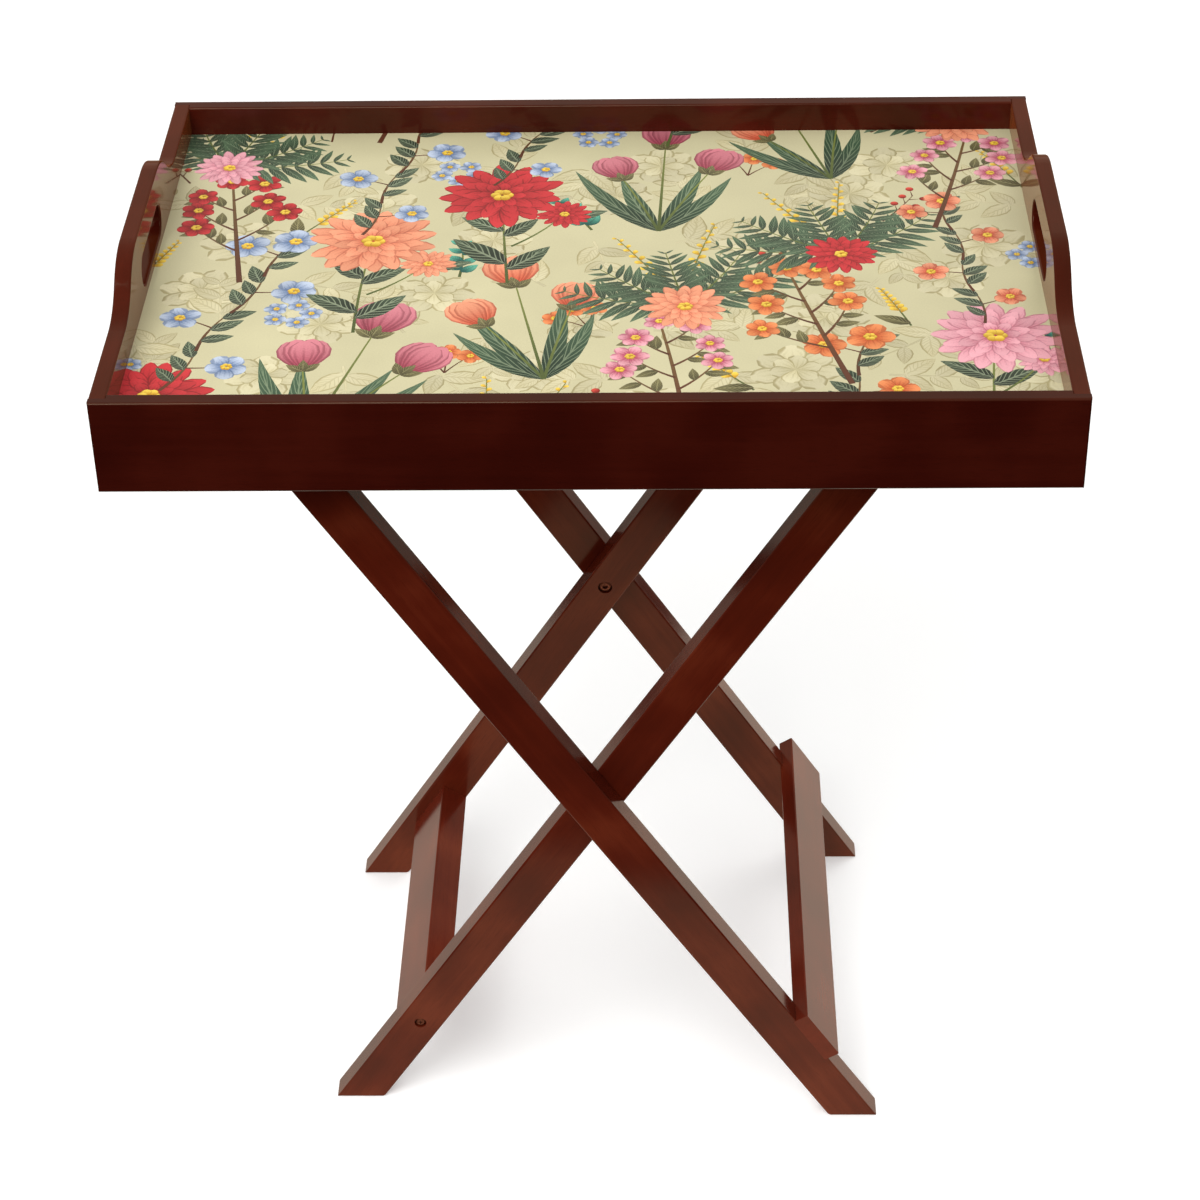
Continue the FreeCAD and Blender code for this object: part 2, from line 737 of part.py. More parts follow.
def lay_tackwise(thing, outer, row, above="0"):
    """Lay a turned piece on a tack's axis, its zero that far above the strap."""
    x, z = on_frame(outer, tack_run(outer), f"({STRAP_FACES[outer]} + strap_thick + {above})")
    stand_at(thing, Y_AXIS, 1, x=x, y=row, z=z)
    bind(thing, Placement__Rotation__Angle="180 + leg_angle" if outer else "180 - leg_angle")
    return thing


def tacks(label, outer):
    """The tacks in one top rail."""
    made = []
    for row in tack_rows(*STRAP_Y):
        tack = headed_pin(label + "_one", "tack_head_dia", "tack_head_thick", "tack_shank_dia", "tack_length")
        made.append(lay_tackwise(tack, outer, row))
    return group(label, made)


def tack_holes(rail, outer):
    """Pilot holes in a top rail for its tacks."""
    run = f"-{tack_run(outer)}" if outer else tack_run(outer)
    holes = [((run, row), "tack_shank_dia / 2 + thread_play") for row in tack_rows(*STRAP_Y)]
    drill(rail, rail.Label + "_tack_holes", "XY_Plane", STRAP_FACES[outer], holes, "tack_length")


def strap(label):
    """A taut strap: an end tacked up the face of each top rail and a level span between them."""
    body = new_body(label + "_blank")
    section = new_sketch(body, label + "_section", "XZ_Plane")
    corners, outside, inside = [], [], []
    for outer in (True, False):
        face = STRAP_FACES[outer]
        clear = f"({face} + strap_thick)"
        side = [
            (face, "(seat_height - strap_drop - strap_thick)"),
            (face, "(seat_height - strap_end_drop)"),
            (clear, "(seat_height - strap_end_drop)"),
            (clear, "(seat_height - strap_drop)"),
        ]
        places = [(on_frame(outer, run_at(height, offset), offset)[0], height) for offset, height in side]
        corners += places if outer else places[::-1]
        outside.append(places[0])
        inside.append(places[-1])
    draw_polygon(section, corners)
    pad(body, section, "strap_width", symmetric=True)
    ease(body, label + "_bends_outside", "strap_bend + strap_thick", at_corners(outside))
    ease(body, label + "_bends_inside", "strap_bend", at_corners(inside))
    bind(body, Placement__Base__y=STRAP_Y[label])
    cutters = []
    for outer in (True, False):
        for row in tack_rows(label):
            cutter = doc.addObject("Part::Cylinder", label + "_hole")
            bind(cutter, Radius="tack_shank_dia / 2 + tack_play", Height="strap_thick + 2 * hole_spare")
            cutters.append(lay_tackwise(cutter, outer, row, above="hole_spare"))
    pierced = doc.addObject("Part::Cut", label)
    pierced.Label = label
    pierced.Base = body
    pierced.Tool = group(label + "_holes", cutters)
    return pierced


# The two frames' bars
def end_holes(bar, place):
    """Pilot holes in both ends of an inner bar."""
    hole = [(place, "screw_dia / 2 + thread_play")]
    depth = "screw_grip + hole_spare"
    pocket = drill(bar, bar.Label + "_end_holes", "XZ_Plane", f"{INNER_GAP} / 2", hole, depth)
    repeat_behind(bar, pocket)


def face_holes(bar, face, run):
    """Pilot holes in an outer bar where it crosses the legs."""
    holes = [((run, sign + OUTER_LEG_Y), "screw_dia / 2 + thread_play") for sign in ("-", "")]
    drill(bar, bar.Label + "_face_holes", "XY_Plane", face, holes, "outer_grip + hole_spare")


def outer_stretcher(label):
    """The lower right bar, let into the upper edges of the outer legs."""
    proud = f"({STRETCHER_FACE} + outer_bar_thick)"
    corners = rectangle("stretcher_drop", STRETCHER_FACE, STRETCHER_END, proud)
    bar = section_bar(label, True, corners, "stand_depth / 2", "stand_depth / 2 + back_overhang")
    face_holes(bar, STRETCHER_FACE, OUTER_SCREW_RUN)
    return bar


def outer_top_rail(label):
    """The top left bar, let into the under edges of the outer legs."""
    proud = f"({RAIL_FACE} - outer_bar_thick)"
    corners = [
        (f"-{seat_run(proud)}", proud),
        (f"-{RAIL_END}", proud),
        (f"-{RAIL_END}", RAIL_FACE),
        (f"-{seat_run(RAIL_FACE)}", RAIL_FACE),
    ]
    bar = section_bar(label, True, corners, "stand_depth")
    face_holes(bar, RAIL_FACE, f"-{RAIL_SCREW_RUN}")
    tack_holes(bar, True)
    return bar


def inner_stretcher(label):
    """The lower left bar, between the inner legs."""
    corners = rectangle(f"-{STRETCHER_END}", f"-{HALF_LEG}", "-stretcher_drop", INNER_BAR_FACE)
    bar = section_bar(label, False, corners, INNER_GAP)
    end_holes(bar, ("-(stretcher_drop + screw_inset)", "0"))
    return bar


def inner_top_rail(label):
    """The top right bar, between the inner legs."""
    under = f"-{HALF_LEG}"
    corners = [
        (RAIL_END, under),
        (seat_run(under), under),
        (seat_run(INNER_BAR_FACE), INNER_BAR_FACE),
        (RAIL_END, INNER_BAR_FACE),
    ]
    bar = section_bar(label, False, corners, INNER_GAP)
    end_holes(bar, (RAIL_SCREW_RUN, "0"))
    tack_holes(bar, False)
    return bar


# The whole table
board_spare = "2 * (groove_depth - board_gap)"
sheet_spare = "2 * sheet_gap"
nodes = [
    long_wall("tray_front_wall", about_face=True),
    long_wall("tray_back_wall", about_face=False),
    handle_end("tray_left_end", about_face=True),
    handle_end("tray_right_end", about_face=False),
    flat_sheet(
        "tray_base_board",
        f"{INNER_LENGTH} + {board_spare}",
        f"{INNER_DEPTH} + {board_spare}",
        "board_thick",
        "seat_height",
    ),
    flat_sheet(
        "tray_print_sheet",
        f"{INNER_LENGTH} - {sheet_spare}",
        f"{INNER_DEPTH} - {sheet_spare}",
        "sheet_thick",
        "seat_height + board_thick",
    ),
    corner_pins("tray_corner_pins"),
    outer_leg("outer_front_leg", front=True),
    outer_leg("outer_back_leg", front=False),
    outer_stretcher("outer_stretcher"),
    outer_top_rail("outer_top_rail"),
    outer_screws("outer_stretcher_screws", f"(-{OUTER_SCREW_RUN})", upwards=True),
    outer_screws("outer_rail_screws", RAIL_SCREW_RUN, upwards=False),
    *pivot_pieces(),
    inner_leg("inner_front_leg", front=True),
    inner_leg("inner_back_leg", front=False),
    inner_stretcher("inner_stretcher"),
    inner_top_rail("inner_top_rail"),
    inner_screws("inner_stretcher_screws", "(-(stretcher_drop + screw_inset))"),
    inner_screws("inner_rail_screws", RAIL_SCREW_RUN),
    strap("front_strap"),
    strap("back_strap"),
    tacks("outer_strap_tacks", outer=True),
    tacks("inner_strap_tacks", outer=False),
]
doc.recompute()

# Check every object, then write one file per piece
for item in doc.Objects:
    if "Invalid" in item.State or "Error" in item.State:
        raise RuntimeError(f"{item.Name} did not compute: {item.State}")
os.makedirs("parts", exist_ok=True)
for node in nodes:
    shape = node.Shape
    if shape.isNull() or not shape.isValid() or not shape.Solids:
        raise RuntimeError(f"{node.Label} has no sound solid")
    shape.exportStep(f"parts/{node.Label}.step")
    box = shape.optimalBoundingBox(False)
    spans = (("x", box.XMin, box.XMax), ("y", box.YMin, box.YMax), ("z", box.ZMin, box.ZMax))
    reach = ", ".join(f"{axis} {low:.1f} to {high:.1f}" for axis, low, high in spans)
    print(f"{node.Label}: {len(shape.Solids)} solid(s), {shape.Volume:.0f} mm3, {reach}")
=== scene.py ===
"""Looks of a butler's tray table: a lacquered mahogany tray with a printed panel, on a folding stand."""
import logging
import math
import random
from dataclasses import dataclass, field, replace
from enum import Enum

import bmesh
import bpy
from mathutils import Matrix, Vector
from mathutils.geometry import delaunay_2d_cdt


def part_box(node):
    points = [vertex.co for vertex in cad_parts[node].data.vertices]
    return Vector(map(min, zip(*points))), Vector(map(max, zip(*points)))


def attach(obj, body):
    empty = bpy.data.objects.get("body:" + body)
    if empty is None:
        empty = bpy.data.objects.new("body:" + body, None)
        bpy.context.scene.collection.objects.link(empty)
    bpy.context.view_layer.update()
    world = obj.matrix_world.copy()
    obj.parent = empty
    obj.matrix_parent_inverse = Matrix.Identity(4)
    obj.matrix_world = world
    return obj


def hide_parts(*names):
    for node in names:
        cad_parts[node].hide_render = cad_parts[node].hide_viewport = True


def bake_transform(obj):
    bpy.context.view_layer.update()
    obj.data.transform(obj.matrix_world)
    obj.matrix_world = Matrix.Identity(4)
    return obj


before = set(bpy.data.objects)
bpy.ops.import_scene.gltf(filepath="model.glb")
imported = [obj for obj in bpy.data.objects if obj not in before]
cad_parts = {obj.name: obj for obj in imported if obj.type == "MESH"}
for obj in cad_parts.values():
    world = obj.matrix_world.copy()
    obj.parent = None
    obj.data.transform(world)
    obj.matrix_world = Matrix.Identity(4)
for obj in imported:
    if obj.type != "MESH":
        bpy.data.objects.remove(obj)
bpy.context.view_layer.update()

MM = 0.001
LEG_SLOPE = math.radians(57.404)
SHADE_SEED = 5
HAIR_LINE = 0.02
log = logging.getLogger("tray_table")


def linear(code: str) -> tuple[float, float, float, float]:
    """Turn an sRGB hex code into the linear colour that a shader socket takes.

    Args:
        code: Colour as a hash sign and six hex digits.

    Returns:
        Linear red, green and blue, and full opacity.
    """
    parts = [int(code[start:start + 2], 16) / 255 for start in (1, 3, 5)]
    red, green, blue = [
        part / 12.92 if part <= 0.04045 else ((part + 0.055) / 1.055) ** 2.4 for part in parts
    ]
    return red, green, blue, 1.0


def set_sockets(tree: bpy.types.NodeTree, node: bpy.types.Node, sockets: dict) -> None:
    """Give a node's input sockets their values or links.

    Args:
        tree: Node tree that holds the node.
        node: The node.
        sockets: Input sockets by name or number, each with a value, or with the output socket to link, or
            with the node whose first output is linked.
    """
    for socket, value in sockets.items():
        if isinstance(value, bpy.types.Node):
            value = value.outputs[0]
        if isinstance(value, bpy.types.NodeSocket):
            tree.links.new(value, node.inputs[socket])
        else:
            node.inputs[socket].default_value = value


def add_node(
    tree: bpy.types.NodeTree,
    kind: str,
    sockets: dict | None = None,
    stops: list[tuple[float, str]] | None = None,
    **settings: object,
) -> bpy.types.Node:
    """Add a node with its settings, and give its sockets values or links.

    Args:
        tree: Node tree that gets the node.
        kind: Blender's name for the type of node.
        sockets: Input sockets, as set_sockets takes them.
        stops: Places and hex colours of a colour ramp: the first, the last, then those between.
        settings: The node's own properties.

    Returns:
        The node.
    """
    node = tree.nodes.new(kind)
    for name, setting in settings.items():
        setattr(node, name, setting)
    set_sockets(tree, node, sockets or {})
    for number, (place, colour) in enumerate(stops or []):
        steps = node.color_ramp.elements
        step = steps[number] if number < len(steps) else steps.new(place)
        step.position = place
        step.color = linear(colour)
    return node


def new_finish(name: str) -> tuple[bpy.types.Material, bpy.types.NodeTree, bpy.types.Node]:
    """Start a material.

    Args:
        name: Name of the real material.

    Returns:
        The material, its node tree and its surface shader.
    """
    finish = bpy.data.materials.new(name)
    finish.use_nodes = True
    return finish, finish.node_tree, finish.node_tree.nodes["Principled BSDF"]


def new_piece(name: str, mesh: bpy.types.Mesh, finish: bpy.types.Material) -> bpy.types.Object:
    """Put a finished mesh into the scene.

    Args:
        name: Name of the piece.
        mesh: Its mesh, with its place in it.
        finish: Its material.

    Returns:
        The piece's object, at the origin.
    """
    piece = bpy.data.objects.new(name, mesh)
    mesh.materials.clear()
    mesh.materials.append(finish)
    bpy.context.scene.collection.objects.link(piece)
    return piece


def dress_node(node: str, finish: bpy.types.Material) -> None:
    """Give a CAD node its finish, and log it.

    Args:
        node: Name of the CAD node.
        finish: Its material.
    """
    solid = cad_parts[node]
    if not solid.material_slots:
        solid.data.materials.append(finish)
    for slot in solid.material_slots:
        slot.material = finish
    log.info("%s: kept solid, %s", node, finish.name)


class Grain(Enum):
    """Run of the wood's fibres, as the turn that brings the X axis onto them."""

    ALONG_LENGTH = (0.0, 0.0, 0.0)
    ALONG_FRONT = (0.0, 0.0, math.pi)
    ALONG_DEPTH = (0.0, 0.0, math.pi / 2)
    ACROSS_STAND = (0.0, 0.0, -math.pi / 2)
    DOWN_TO_RIGHT = (0.0, LEG_SLOPE, 0.0)
    DOWN_TO_LEFT = (0.0, -LEG_SLOPE, 0.0)


class Stain(Enum):
    """Depth of the red stain, as the colours of the dark, middle and light ribbons and of the pores. The
    shaded front wall's colours are the tray's stain darkened as painted shade, and the lit bars' colours are
    the legs' stain lightened as painted light.
    """

    # Painted shade: the tray's stain darkened to stand in for the shade on the front wall.
    SHADED_FRONT_WALL = ("#300A05", "#360C06", "#3F1109", "#260804")
    TRAY = ("#360B05", "#3D0D06", "#47130A", "#2A0904")
    LEGS = ("#46140A", "#52190C", "#612413", "#3E1108")
    # Painted light: the legs' stain lightened to stand in for the bounce light on the stretchers and top
    # rails.
    LIT_BARS = ("#531A0E", "#611F11", "#722B18", "#4A160B")


@dataclass(frozen=True)
class LacqueredMahogany:
    """Mahogany, planed, stained dark red and sprayed with gloss lacquer; sizes in millimetres.

    Attributes:
        grain: Run of the fibres.
        stain: Depth of the stain.
        lacquer: Warm tint of what the amber lacquer mirrors.
        ember: Tint of the light that the stained fibres scatter along the surface.
        ribbon: Length and width of the figure's ribbons.
        mottle: Width of the patches where the stain took more or less.
        pores: Length and width of the pores, which are really half as wide and are drawn coarser to show.
        ripple: Width of the lacquer's faint ripples.
        roughness: Roughness of the lacquer.
        gloss: Strength of what the lacquer mirrors, less where it was rubbed down.
        bloom: Strength of the warm light that the stained fibres scatter along the surface.
    """

    grain: Grain
    stain: Stain = Stain.TRAY
    lacquer: str = "#FFE9C4"
    ember: str = "#EE8A44"
    ribbon: tuple[float, float] = (240.0, 9.0)
    mottle: float = 65.0
    pores: tuple[float, float] = (11.0, 0.5)
    ripple: float = 5.0
    roughness: float = 0.14
    gloss: float = 0.23
    bloom: float = 0.0

    def material(self) -> bpy.types.Material:
        """Build the material.

        Returns:
            The material, one for each run of the grain.
        """
        # The stain hides most of the figure: the eye gets an even deep red, faint ribbons and a clear gloss.
        finish, tree, shader = new_finish("lacquered_mahogany_" + self.grain.name.lower())
        dark, middle, light, pore = self.stain.value
        place = add_node(tree, "ShaderNodeTexCoord").outputs["Object"]
        board, fibres = [
            add_node(tree, "ShaderNodeMapping", {
                "Vector": place, "Rotation": self.grain.value, "Scale": (long * MM, wide * MM, wide * MM),
            }, vector_type="TEXTURE")
            for long, wide in (self.ribbon, self.pores)
        ]
        ribbons = add_node(tree, "ShaderNodeTexNoise", {
            "Vector": board, "Scale": 1.0, "Detail": 5.0, "Roughness": 0.6, "Distortion": 0.6,
        })
        patches = add_node(tree, "ShaderNodeTexNoise", {
            "Vector": place, "Scale": 1 / (self.mottle * MM), "Detail": 2.0, "Roughness": 0.4,
        })
        depth = add_node(tree, "ShaderNodeMix", {0: 0.75, 2: ribbons, 3: patches})
        stain = add_node(tree, "ShaderNodeValToRGB", {"Fac": depth},
                         stops=[(0.36, dark), (0.64, light), (0.5, middle)])
        pores = add_node(tree, "ShaderNodeTexNoise", {
            "Vector": fibres, "Scale": 1.0, "Detail": 2.0, "Roughness": 0.5,
        })
        shown = add_node(tree, "ShaderNodeMapRange", {
            "Value": pores, "From Min": 0.54, "From Max": 0.74, "To Max": 0.5,
        })
        colour = add_node(tree, "ShaderNodeMix", {0: shown, 6: stain, 7: linear(pore)}, data_type="RGBA")
        rubbed = add_node(tree, "ShaderNodeMapRange", {
            "Value": ribbons, "To Min": 0.7 * self.roughness, "To Max": 1.4 * self.roughness,
        })
        film = add_node(tree, "ShaderNodeTexNoise", {
            "Vector": place, "Scale": 1 / (self.ripple * MM), "Detail": 1.0,
        })
        level = add_node(tree, "ShaderNodeMath", {0: film, 1: shown}, operation="SUBTRACT")
        bump = add_node(tree, "ShaderNodeBump", {"Height": level, "Strength": 0.08, "Distance": 0.2 * MM})
        set_sockets(tree, shader, {
            "Base Color": colour.outputs[2], "Roughness": rubbed, "Normal": bump,
            "Specular IOR Level": self.gloss, "Specular Tint": linear(self.lacquer),
            "Sheen Weight": self.bloom, "Sheen Tint": linear(self.ember),
        })
        return finish


@dataclass(frozen=True)
class StainedPlywood:
    """Thin plywood, sanded and wiped with brown stain, without lacquer; sizes in millimetres.

    Attributes:
        dark: Colour of the late wood.
        light: Colour of the early wood.
        figure: Length and width of the peeled veneer's figure.
    """

    dark: str = "#4A2417"
    light: str = "#6E3C26"
    figure: tuple[float, float] = (300.0, 18.0)

    def material(self) -> bpy.types.Material:
        """Build the material.

        Returns:
            The material.
        """
        # Peeled veneer gives broad wandering bands and a dull, slightly open surface.
        finish, tree, shader = new_finish("stained_plywood")
        place = add_node(tree, "ShaderNodeTexCoord").outputs["Object"]
        long, wide = (size * MM for size in self.figure)
        sheet = add_node(tree, "ShaderNodeMapping", {"Vector": place, "Scale": (long, wide, wide)},
                         vector_type="TEXTURE")
        bands = add_node(tree, "ShaderNodeTexNoise", {
            "Vector": sheet, "Scale": 1.0, "Detail": 6.0, "Roughness": 0.65, "Distortion": 1.2,
        })
        stain = add_node(tree, "ShaderNodeValToRGB", {"Fac": bands},
                         stops=[(0.35, self.dark), (0.68, self.light)])
        bump = add_node(tree, "ShaderNodeBump", {"Height": bands, "Strength": 0.2, "Distance": 0.2 * MM})
        set_sockets(tree, shader, {"Base Color": stain, "Normal": bump, "Roughness": 0.7})
        return finish


@dataclass(frozen=True)
class DullMetal:
    """Plated or cast fastener metal, tumbled dull; sizes in millimetres.

    Attributes:
        name: Common name of the metal.
        dark: Colour of the tarnished spots.
        light: Colour of the metal.
        spot: Width of the tarnished spots.
        roughness: Roughness of the clean metal.
    """

    name: str
    dark: str
    light: str
    spot: float = 1.2
    roughness: float = 0.38

    def material(self) -> bpy.types.Material:
        """Build the material.

        Returns:
            The material.
        """
        # Tumbling leaves soft gloss with darker, rougher spots.
        finish, tree, shader = new_finish(self.name)
        place = add_node(tree, "ShaderNodeTexCoord").outputs["Object"]
        spots = add_node(tree, "ShaderNodeTexNoise", {
            "Vector": place, "Scale": 1 / (self.spot * MM), "Detail": 4.0,
        })
        colour = add_node(tree, "ShaderNodeValToRGB", {"Fac": spots},
                          stops=[(0.35, self.dark), (0.6, self.light)])
        wear = add_node(tree, "ShaderNodeMapRange", {
            "Value": spots, "To Min": self.roughness + 0.15, "To Max": self.roughness - 0.1,
        })
        set_sockets(tree, shader, {"Base Color": colour, "Roughness": wear, "Metallic": 1.0})
        return finish


@dataclass(frozen=True)
class CottonWebbing:
    """Brown cotton webbing, woven in a twill; sizes in millimetres.

    Attributes:
        thread: Colour of the raised threads.
        gap: Colour between the threads.
        rib: Width of one rib of the weave.
    """

    thread: str = "#4A3325"
    gap: str = "#1E130D"
    rib: float = 1.6

    def material(self) -> bpy.types.Material:
        """Build the material, which reads the strap's own map of millimetres along and across.

        Returns:
            The material.
        """
        # Twill gives slanting ribs that turn back at the middle, and a soft dry sheen.
        finish, tree, shader = new_finish("cotton_webbing")
        woven = add_node(tree, "ShaderNodeUVMap", uv_map="weave")
        along, across, _ = add_node(tree, "ShaderNodeSeparateXYZ", {0: woven}).outputs
        folded = add_node(tree, "ShaderNodeMath", {0: across}, operation="ABSOLUTE")
        slant = add_node(tree, "ShaderNodeMath", {0: along, 1: folded}, operation="ADD")
        turn = add_node(tree, "ShaderNodeMath", {0: slant, 1: math.tau / self.rib}, operation="MULTIPLY")
        wave = add_node(tree, "ShaderNodeMath", {0: turn}, operation="SINE")
        height = add_node(tree, "ShaderNodeMapRange", {"Value": wave, "From Min": -1.0, "From Max": 1.0})
        colour = add_node(tree, "ShaderNodeValToRGB", {"Fac": height},
                          stops=[(0.15, self.gap), (0.7, self.thread)])
        bump = add_node(tree, "ShaderNodeBump", {"Height": height, "Strength": 0.7, "Distance": 0.3 * MM})
        set_sockets(tree, shader, {
            "Base Color": colour, "Normal": bump, "Roughness": 0.85,
            "Sheen Weight": 0.25, "Specular IOR Level": 0.25,
        })
        return finish


@dataclass(frozen=True)
class PrintedLaminate:
    """Printed paper under a clear satin laminate; sizes in millimetres.

    Attributes:
        mottle: Width of the paper's cloudy tone.
        fibre: Width of the paper's fine speckle, drawn coarser than real so that it shows.
        roughness: Roughness of the laminate.
    """

    mottle: float = 55.0
    fibre: float = 1.1
    roughness: float = 0.3

    def material(self) -> bpy.types.Material:
        """Build the material, which reads each printed stroke's inks and its own run and width.

        Returns:
            The material.
        """
        # The laminate gives the paper a satin gloss, over strokes that run from a root ink to a tip ink, with
        # a drawn outline, midrib, veins and streaks.
        finish, tree, shader = new_finish("printed_laminate")
        stroke, root, tip, line = [
            add_node(tree, "ShaderNodeAttribute", attribute_name=name)
            for name in ("stroke", "root_ink", "tip_ink", "line_ink")
        ]
        across, along, shade = add_node(tree, "ShaderNodeSeparateXYZ", {0: stroke.outputs["Vector"]}).outputs
        place = add_node(tree, "ShaderNodeTexCoord").outputs["Object"]
        speck, cloud = [
            add_node(tree, "ShaderNodeTexNoise", {
                "Vector": place, "Scale": 1 / (size * MM), "Detail": detail,
            })
            for size, detail in ((self.fibre, 3.0), (self.mottle, 2.0))
        ]
        # Ink from root to tip
        blot = add_node(tree, "ShaderNodeMath", {0: speck, 1: 0.35, 2: along}, operation="MULTIPLY_ADD")
        rise = add_node(tree, "ShaderNodeMapRange", {"Value": blot, "From Min": 0.2, "From Max": 1.1},
                        interpolation_type="SMOOTHSTEP")
        fill = add_node(tree, "ShaderNodeMix", {
            0: rise, 6: root.outputs["Color"], 7: tip.outputs["Color"],
        }, data_type="RGBA")
        # Outline
        side = add_node(tree, "ShaderNodeMath", {0: across}, operation="ABSOLUTE")
        rim = add_node(tree, "ShaderNodeMapRange", {"Value": side, "From Min": 0.72, "From Max": 0.92},
                       interpolation_type="SMOOTHSTEP")
        edge = add_node(tree, "ShaderNodeMath", {0: rim, 1: root.outputs["Alpha"]}, operation="MULTIPLY")
        # Midrib and veins
        midrib = add_node(tree, "ShaderNodeMapRange", {
            "Value": side, "From Min": 0.04, "From Max": 0.13, "To Min": 1.0, "To Max": 0.0,
        })
        swept = add_node(tree, "ShaderNodeMath", {0: side, 1: -0.28, 2: along}, operation="MULTIPLY_ADD")
        beat = add_node(tree, "ShaderNodeMath", {0: swept, 1: 8 * math.tau}, operation="MULTIPLY")
        wave = add_node(tree, "ShaderNodeMath", {0: beat}, operation="SINE")
        ribs = add_node(tree, "ShaderNodeMapRange", {"Value": wave, "From Min": 0.55, "From Max": 0.95})
        drawn = add_node(tree, "ShaderNodeMath", {0: midrib, 1: ribs}, operation="MAXIMUM")
        veins = add_node(tree, "ShaderNodeMath", {0: drawn, 1: tip.outputs["Alpha"]}, operation="MULTIPLY")
        # Streaks that fan out from the root
        fan = add_node(tree, "ShaderNodeMath", {0: across, 1: 3.5 * math.pi}, operation="MULTIPLY")
        comb = add_node(tree, "ShaderNodeMath", {0: fan}, operation="COSINE")
        hairs = add_node(tree, "ShaderNodeMapRange", {"Value": comb, "From Min": 0.3, "From Max": 0.95})
        fade = add_node(tree, "ShaderNodeMapRange", {
            "Value": blot, "From Min": 0.35, "From Max": 1.05, "To Min": 1.0, "To Max": 0.0,
        })
        faded = add_node(tree, "ShaderNodeMath", {0: hairs, 1: fade}, operation="MULTIPLY")
        streaks = add_node(tree, "ShaderNodeMath", {0: faded, 1: line.outputs["Alpha"]}, operation="MULTIPLY")
        marks = add_node(tree, "ShaderNodeMath", {0: veins, 1: streaks}, operation="MAXIMUM")
        all_marks = add_node(tree, "ShaderNodeMath", {0: marks, 1: edge}, operation="MAXIMUM")
        inked = add_node(tree, "ShaderNodeMix", {
            0: all_marks, 6: fill.outputs[2], 7: line.outputs["Color"],
        }, data_type="RGBA")
        # Cloudy and speckled tone of the paper
        tone = add_node(tree, "ShaderNodeMath", {0: cloud, 1: 0.22, 2: 0.89}, operation="MULTIPLY_ADD")
        lit = add_node(tree, "ShaderNodeMath", {0: shade, 1: 0.12, 2: tone}, operation="MULTIPLY_ADD")
        grit = add_node(tree, "ShaderNodeMath", {0: speck, 1: 0.16, 2: -0.08}, operation="MULTIPLY_ADD")
        value = add_node(tree, "ShaderNodeMath", {0: lit, 1: grit}, operation="ADD")
        printed = add_node(tree, "ShaderNodeHueSaturation", {"Value": value, "Color": inked.outputs[2]})
        bump = add_node(tree, "ShaderNodeBump", {"Height": speck, "Strength": 0.05, "Distance": 0.1 * MM})
        set_sockets(tree, shader, {
            "Base Color": printed, "Normal": bump, "Roughness": self.roughness, "Specular IOR Level": 0.35,
        })
        return finish


@dataclass(frozen=True)
class InkColours:
    """Inks of one kind of stroke.

    Attributes:
        root: Colour where the stroke starts.
        tip: Colour where it ends.
        line: Colour of its drawn lines.
        edge: Strength of the outline.
        veins: Strength of the midrib and veins.
        streaks: Strength of the lines that fan out from the root.
    """

    root: str
    tip: str
    line: str
    edge: float = 0.0
    veins: float = 0.0
    streaks: float = 0.0


class Ink(Enum):
    """The print's palette."""

    PAPER = InkColours("#C9C29B", "#C9C29B", "#C9C29B")
    FAINT_LEAF = InkColours("#CFC7A2", "#C6BD95", "#998D5F", 0.8, 0.4, 0.0)
    FAINT_PETAL = InkColours("#C4BB92", "#D1C9A4", "#998D5F", 0.8, 0.0, 0.45)
    CRIMSON = InkColours("#7E0D16", "#C63238", "#4E060C", 0.6, 0.0, 0.7)
    CORAL = InkColours("#C4452A", "#EC9C78", "#96301C", 0.55, 0.0, 0.65)
    PINK = InkColours("#AE2A52", "#E9A8B1", "#861B40", 0.5, 0.0, 0.7)
    DUSTY_ROSE = InkColours("#98344A", "#D07E88", "#6C1E30", 0.55, 0.0, 0.7)
    ORANGE = InkColours("#BC4A1C", "#E78C55", "#8A3412", 0.5, 0.0, 0.5)
    SKY = InkColours("#4E6C98", "#BCC8DA", "#3B567C", 0.55, 0.0, 0.55)
    TEAL = InkColours("#14564F", "#63B89C", "#0D3B37", 0.55, 0.5, 0.0)
    GOLD = InkColours("#B9830F", "#F1CE4E", "#8A5E0A", 0.4, 0.0, 0.0)
    DARK_LEAF = InkColours("#1F2A22", "#3A4B38", "#A9B594", 0.0, 0.6, 0.0)
    OLIVE_LEAF = InkColours("#3C3822", "#696340", "#B4AC79", 0.0, 0.5, 0.0)
    FERN_LEAF = InkColours("#1B3025", "#435E45", "#A8B792", 0.0, 0.4, 0.0)
    TWIG = InkColours("#5B3322", "#6F5330", "#3A2015", 0.5, 0.0, 0.0)
    GREEN_STEM = InkColours("#4E5B2E", "#78803F", "#333D1D", 0.4, 0.0, 0.0)
    BERRY = InkColours("#7C1414", "#DB4B3C", "#540B0B", 0.5, 0.0, 0.0)


class Outline(Enum):
    """Shape of a printed stroke."""

    LEAF = "leaf"
    PETAL = "petal"
    DISC = "disc"
    STEM = "stem"

    def share(self, along: float) -> float:
        """Give the share of the stroke's half width that it has at a share of its length.

        Args:
            along: Place from 0 at the root to 1 at the tip.

        Returns:
            Share from 0 to 1.
        """
        if self is Outline.STEM:
            return 1.0 - 0.6 * along
        if self is Outline.DISC:
            return math.sqrt(max(0.0, 1.0 - (2.0 * along - 1.0) ** 2))
        if self is Outline.LEAF:
            return max(0.0, math.sin(math.pi * along ** 0.75)) ** 0.9
        return max(0.0, math.sin(math.pi * along ** 1.7)) ** 0.6


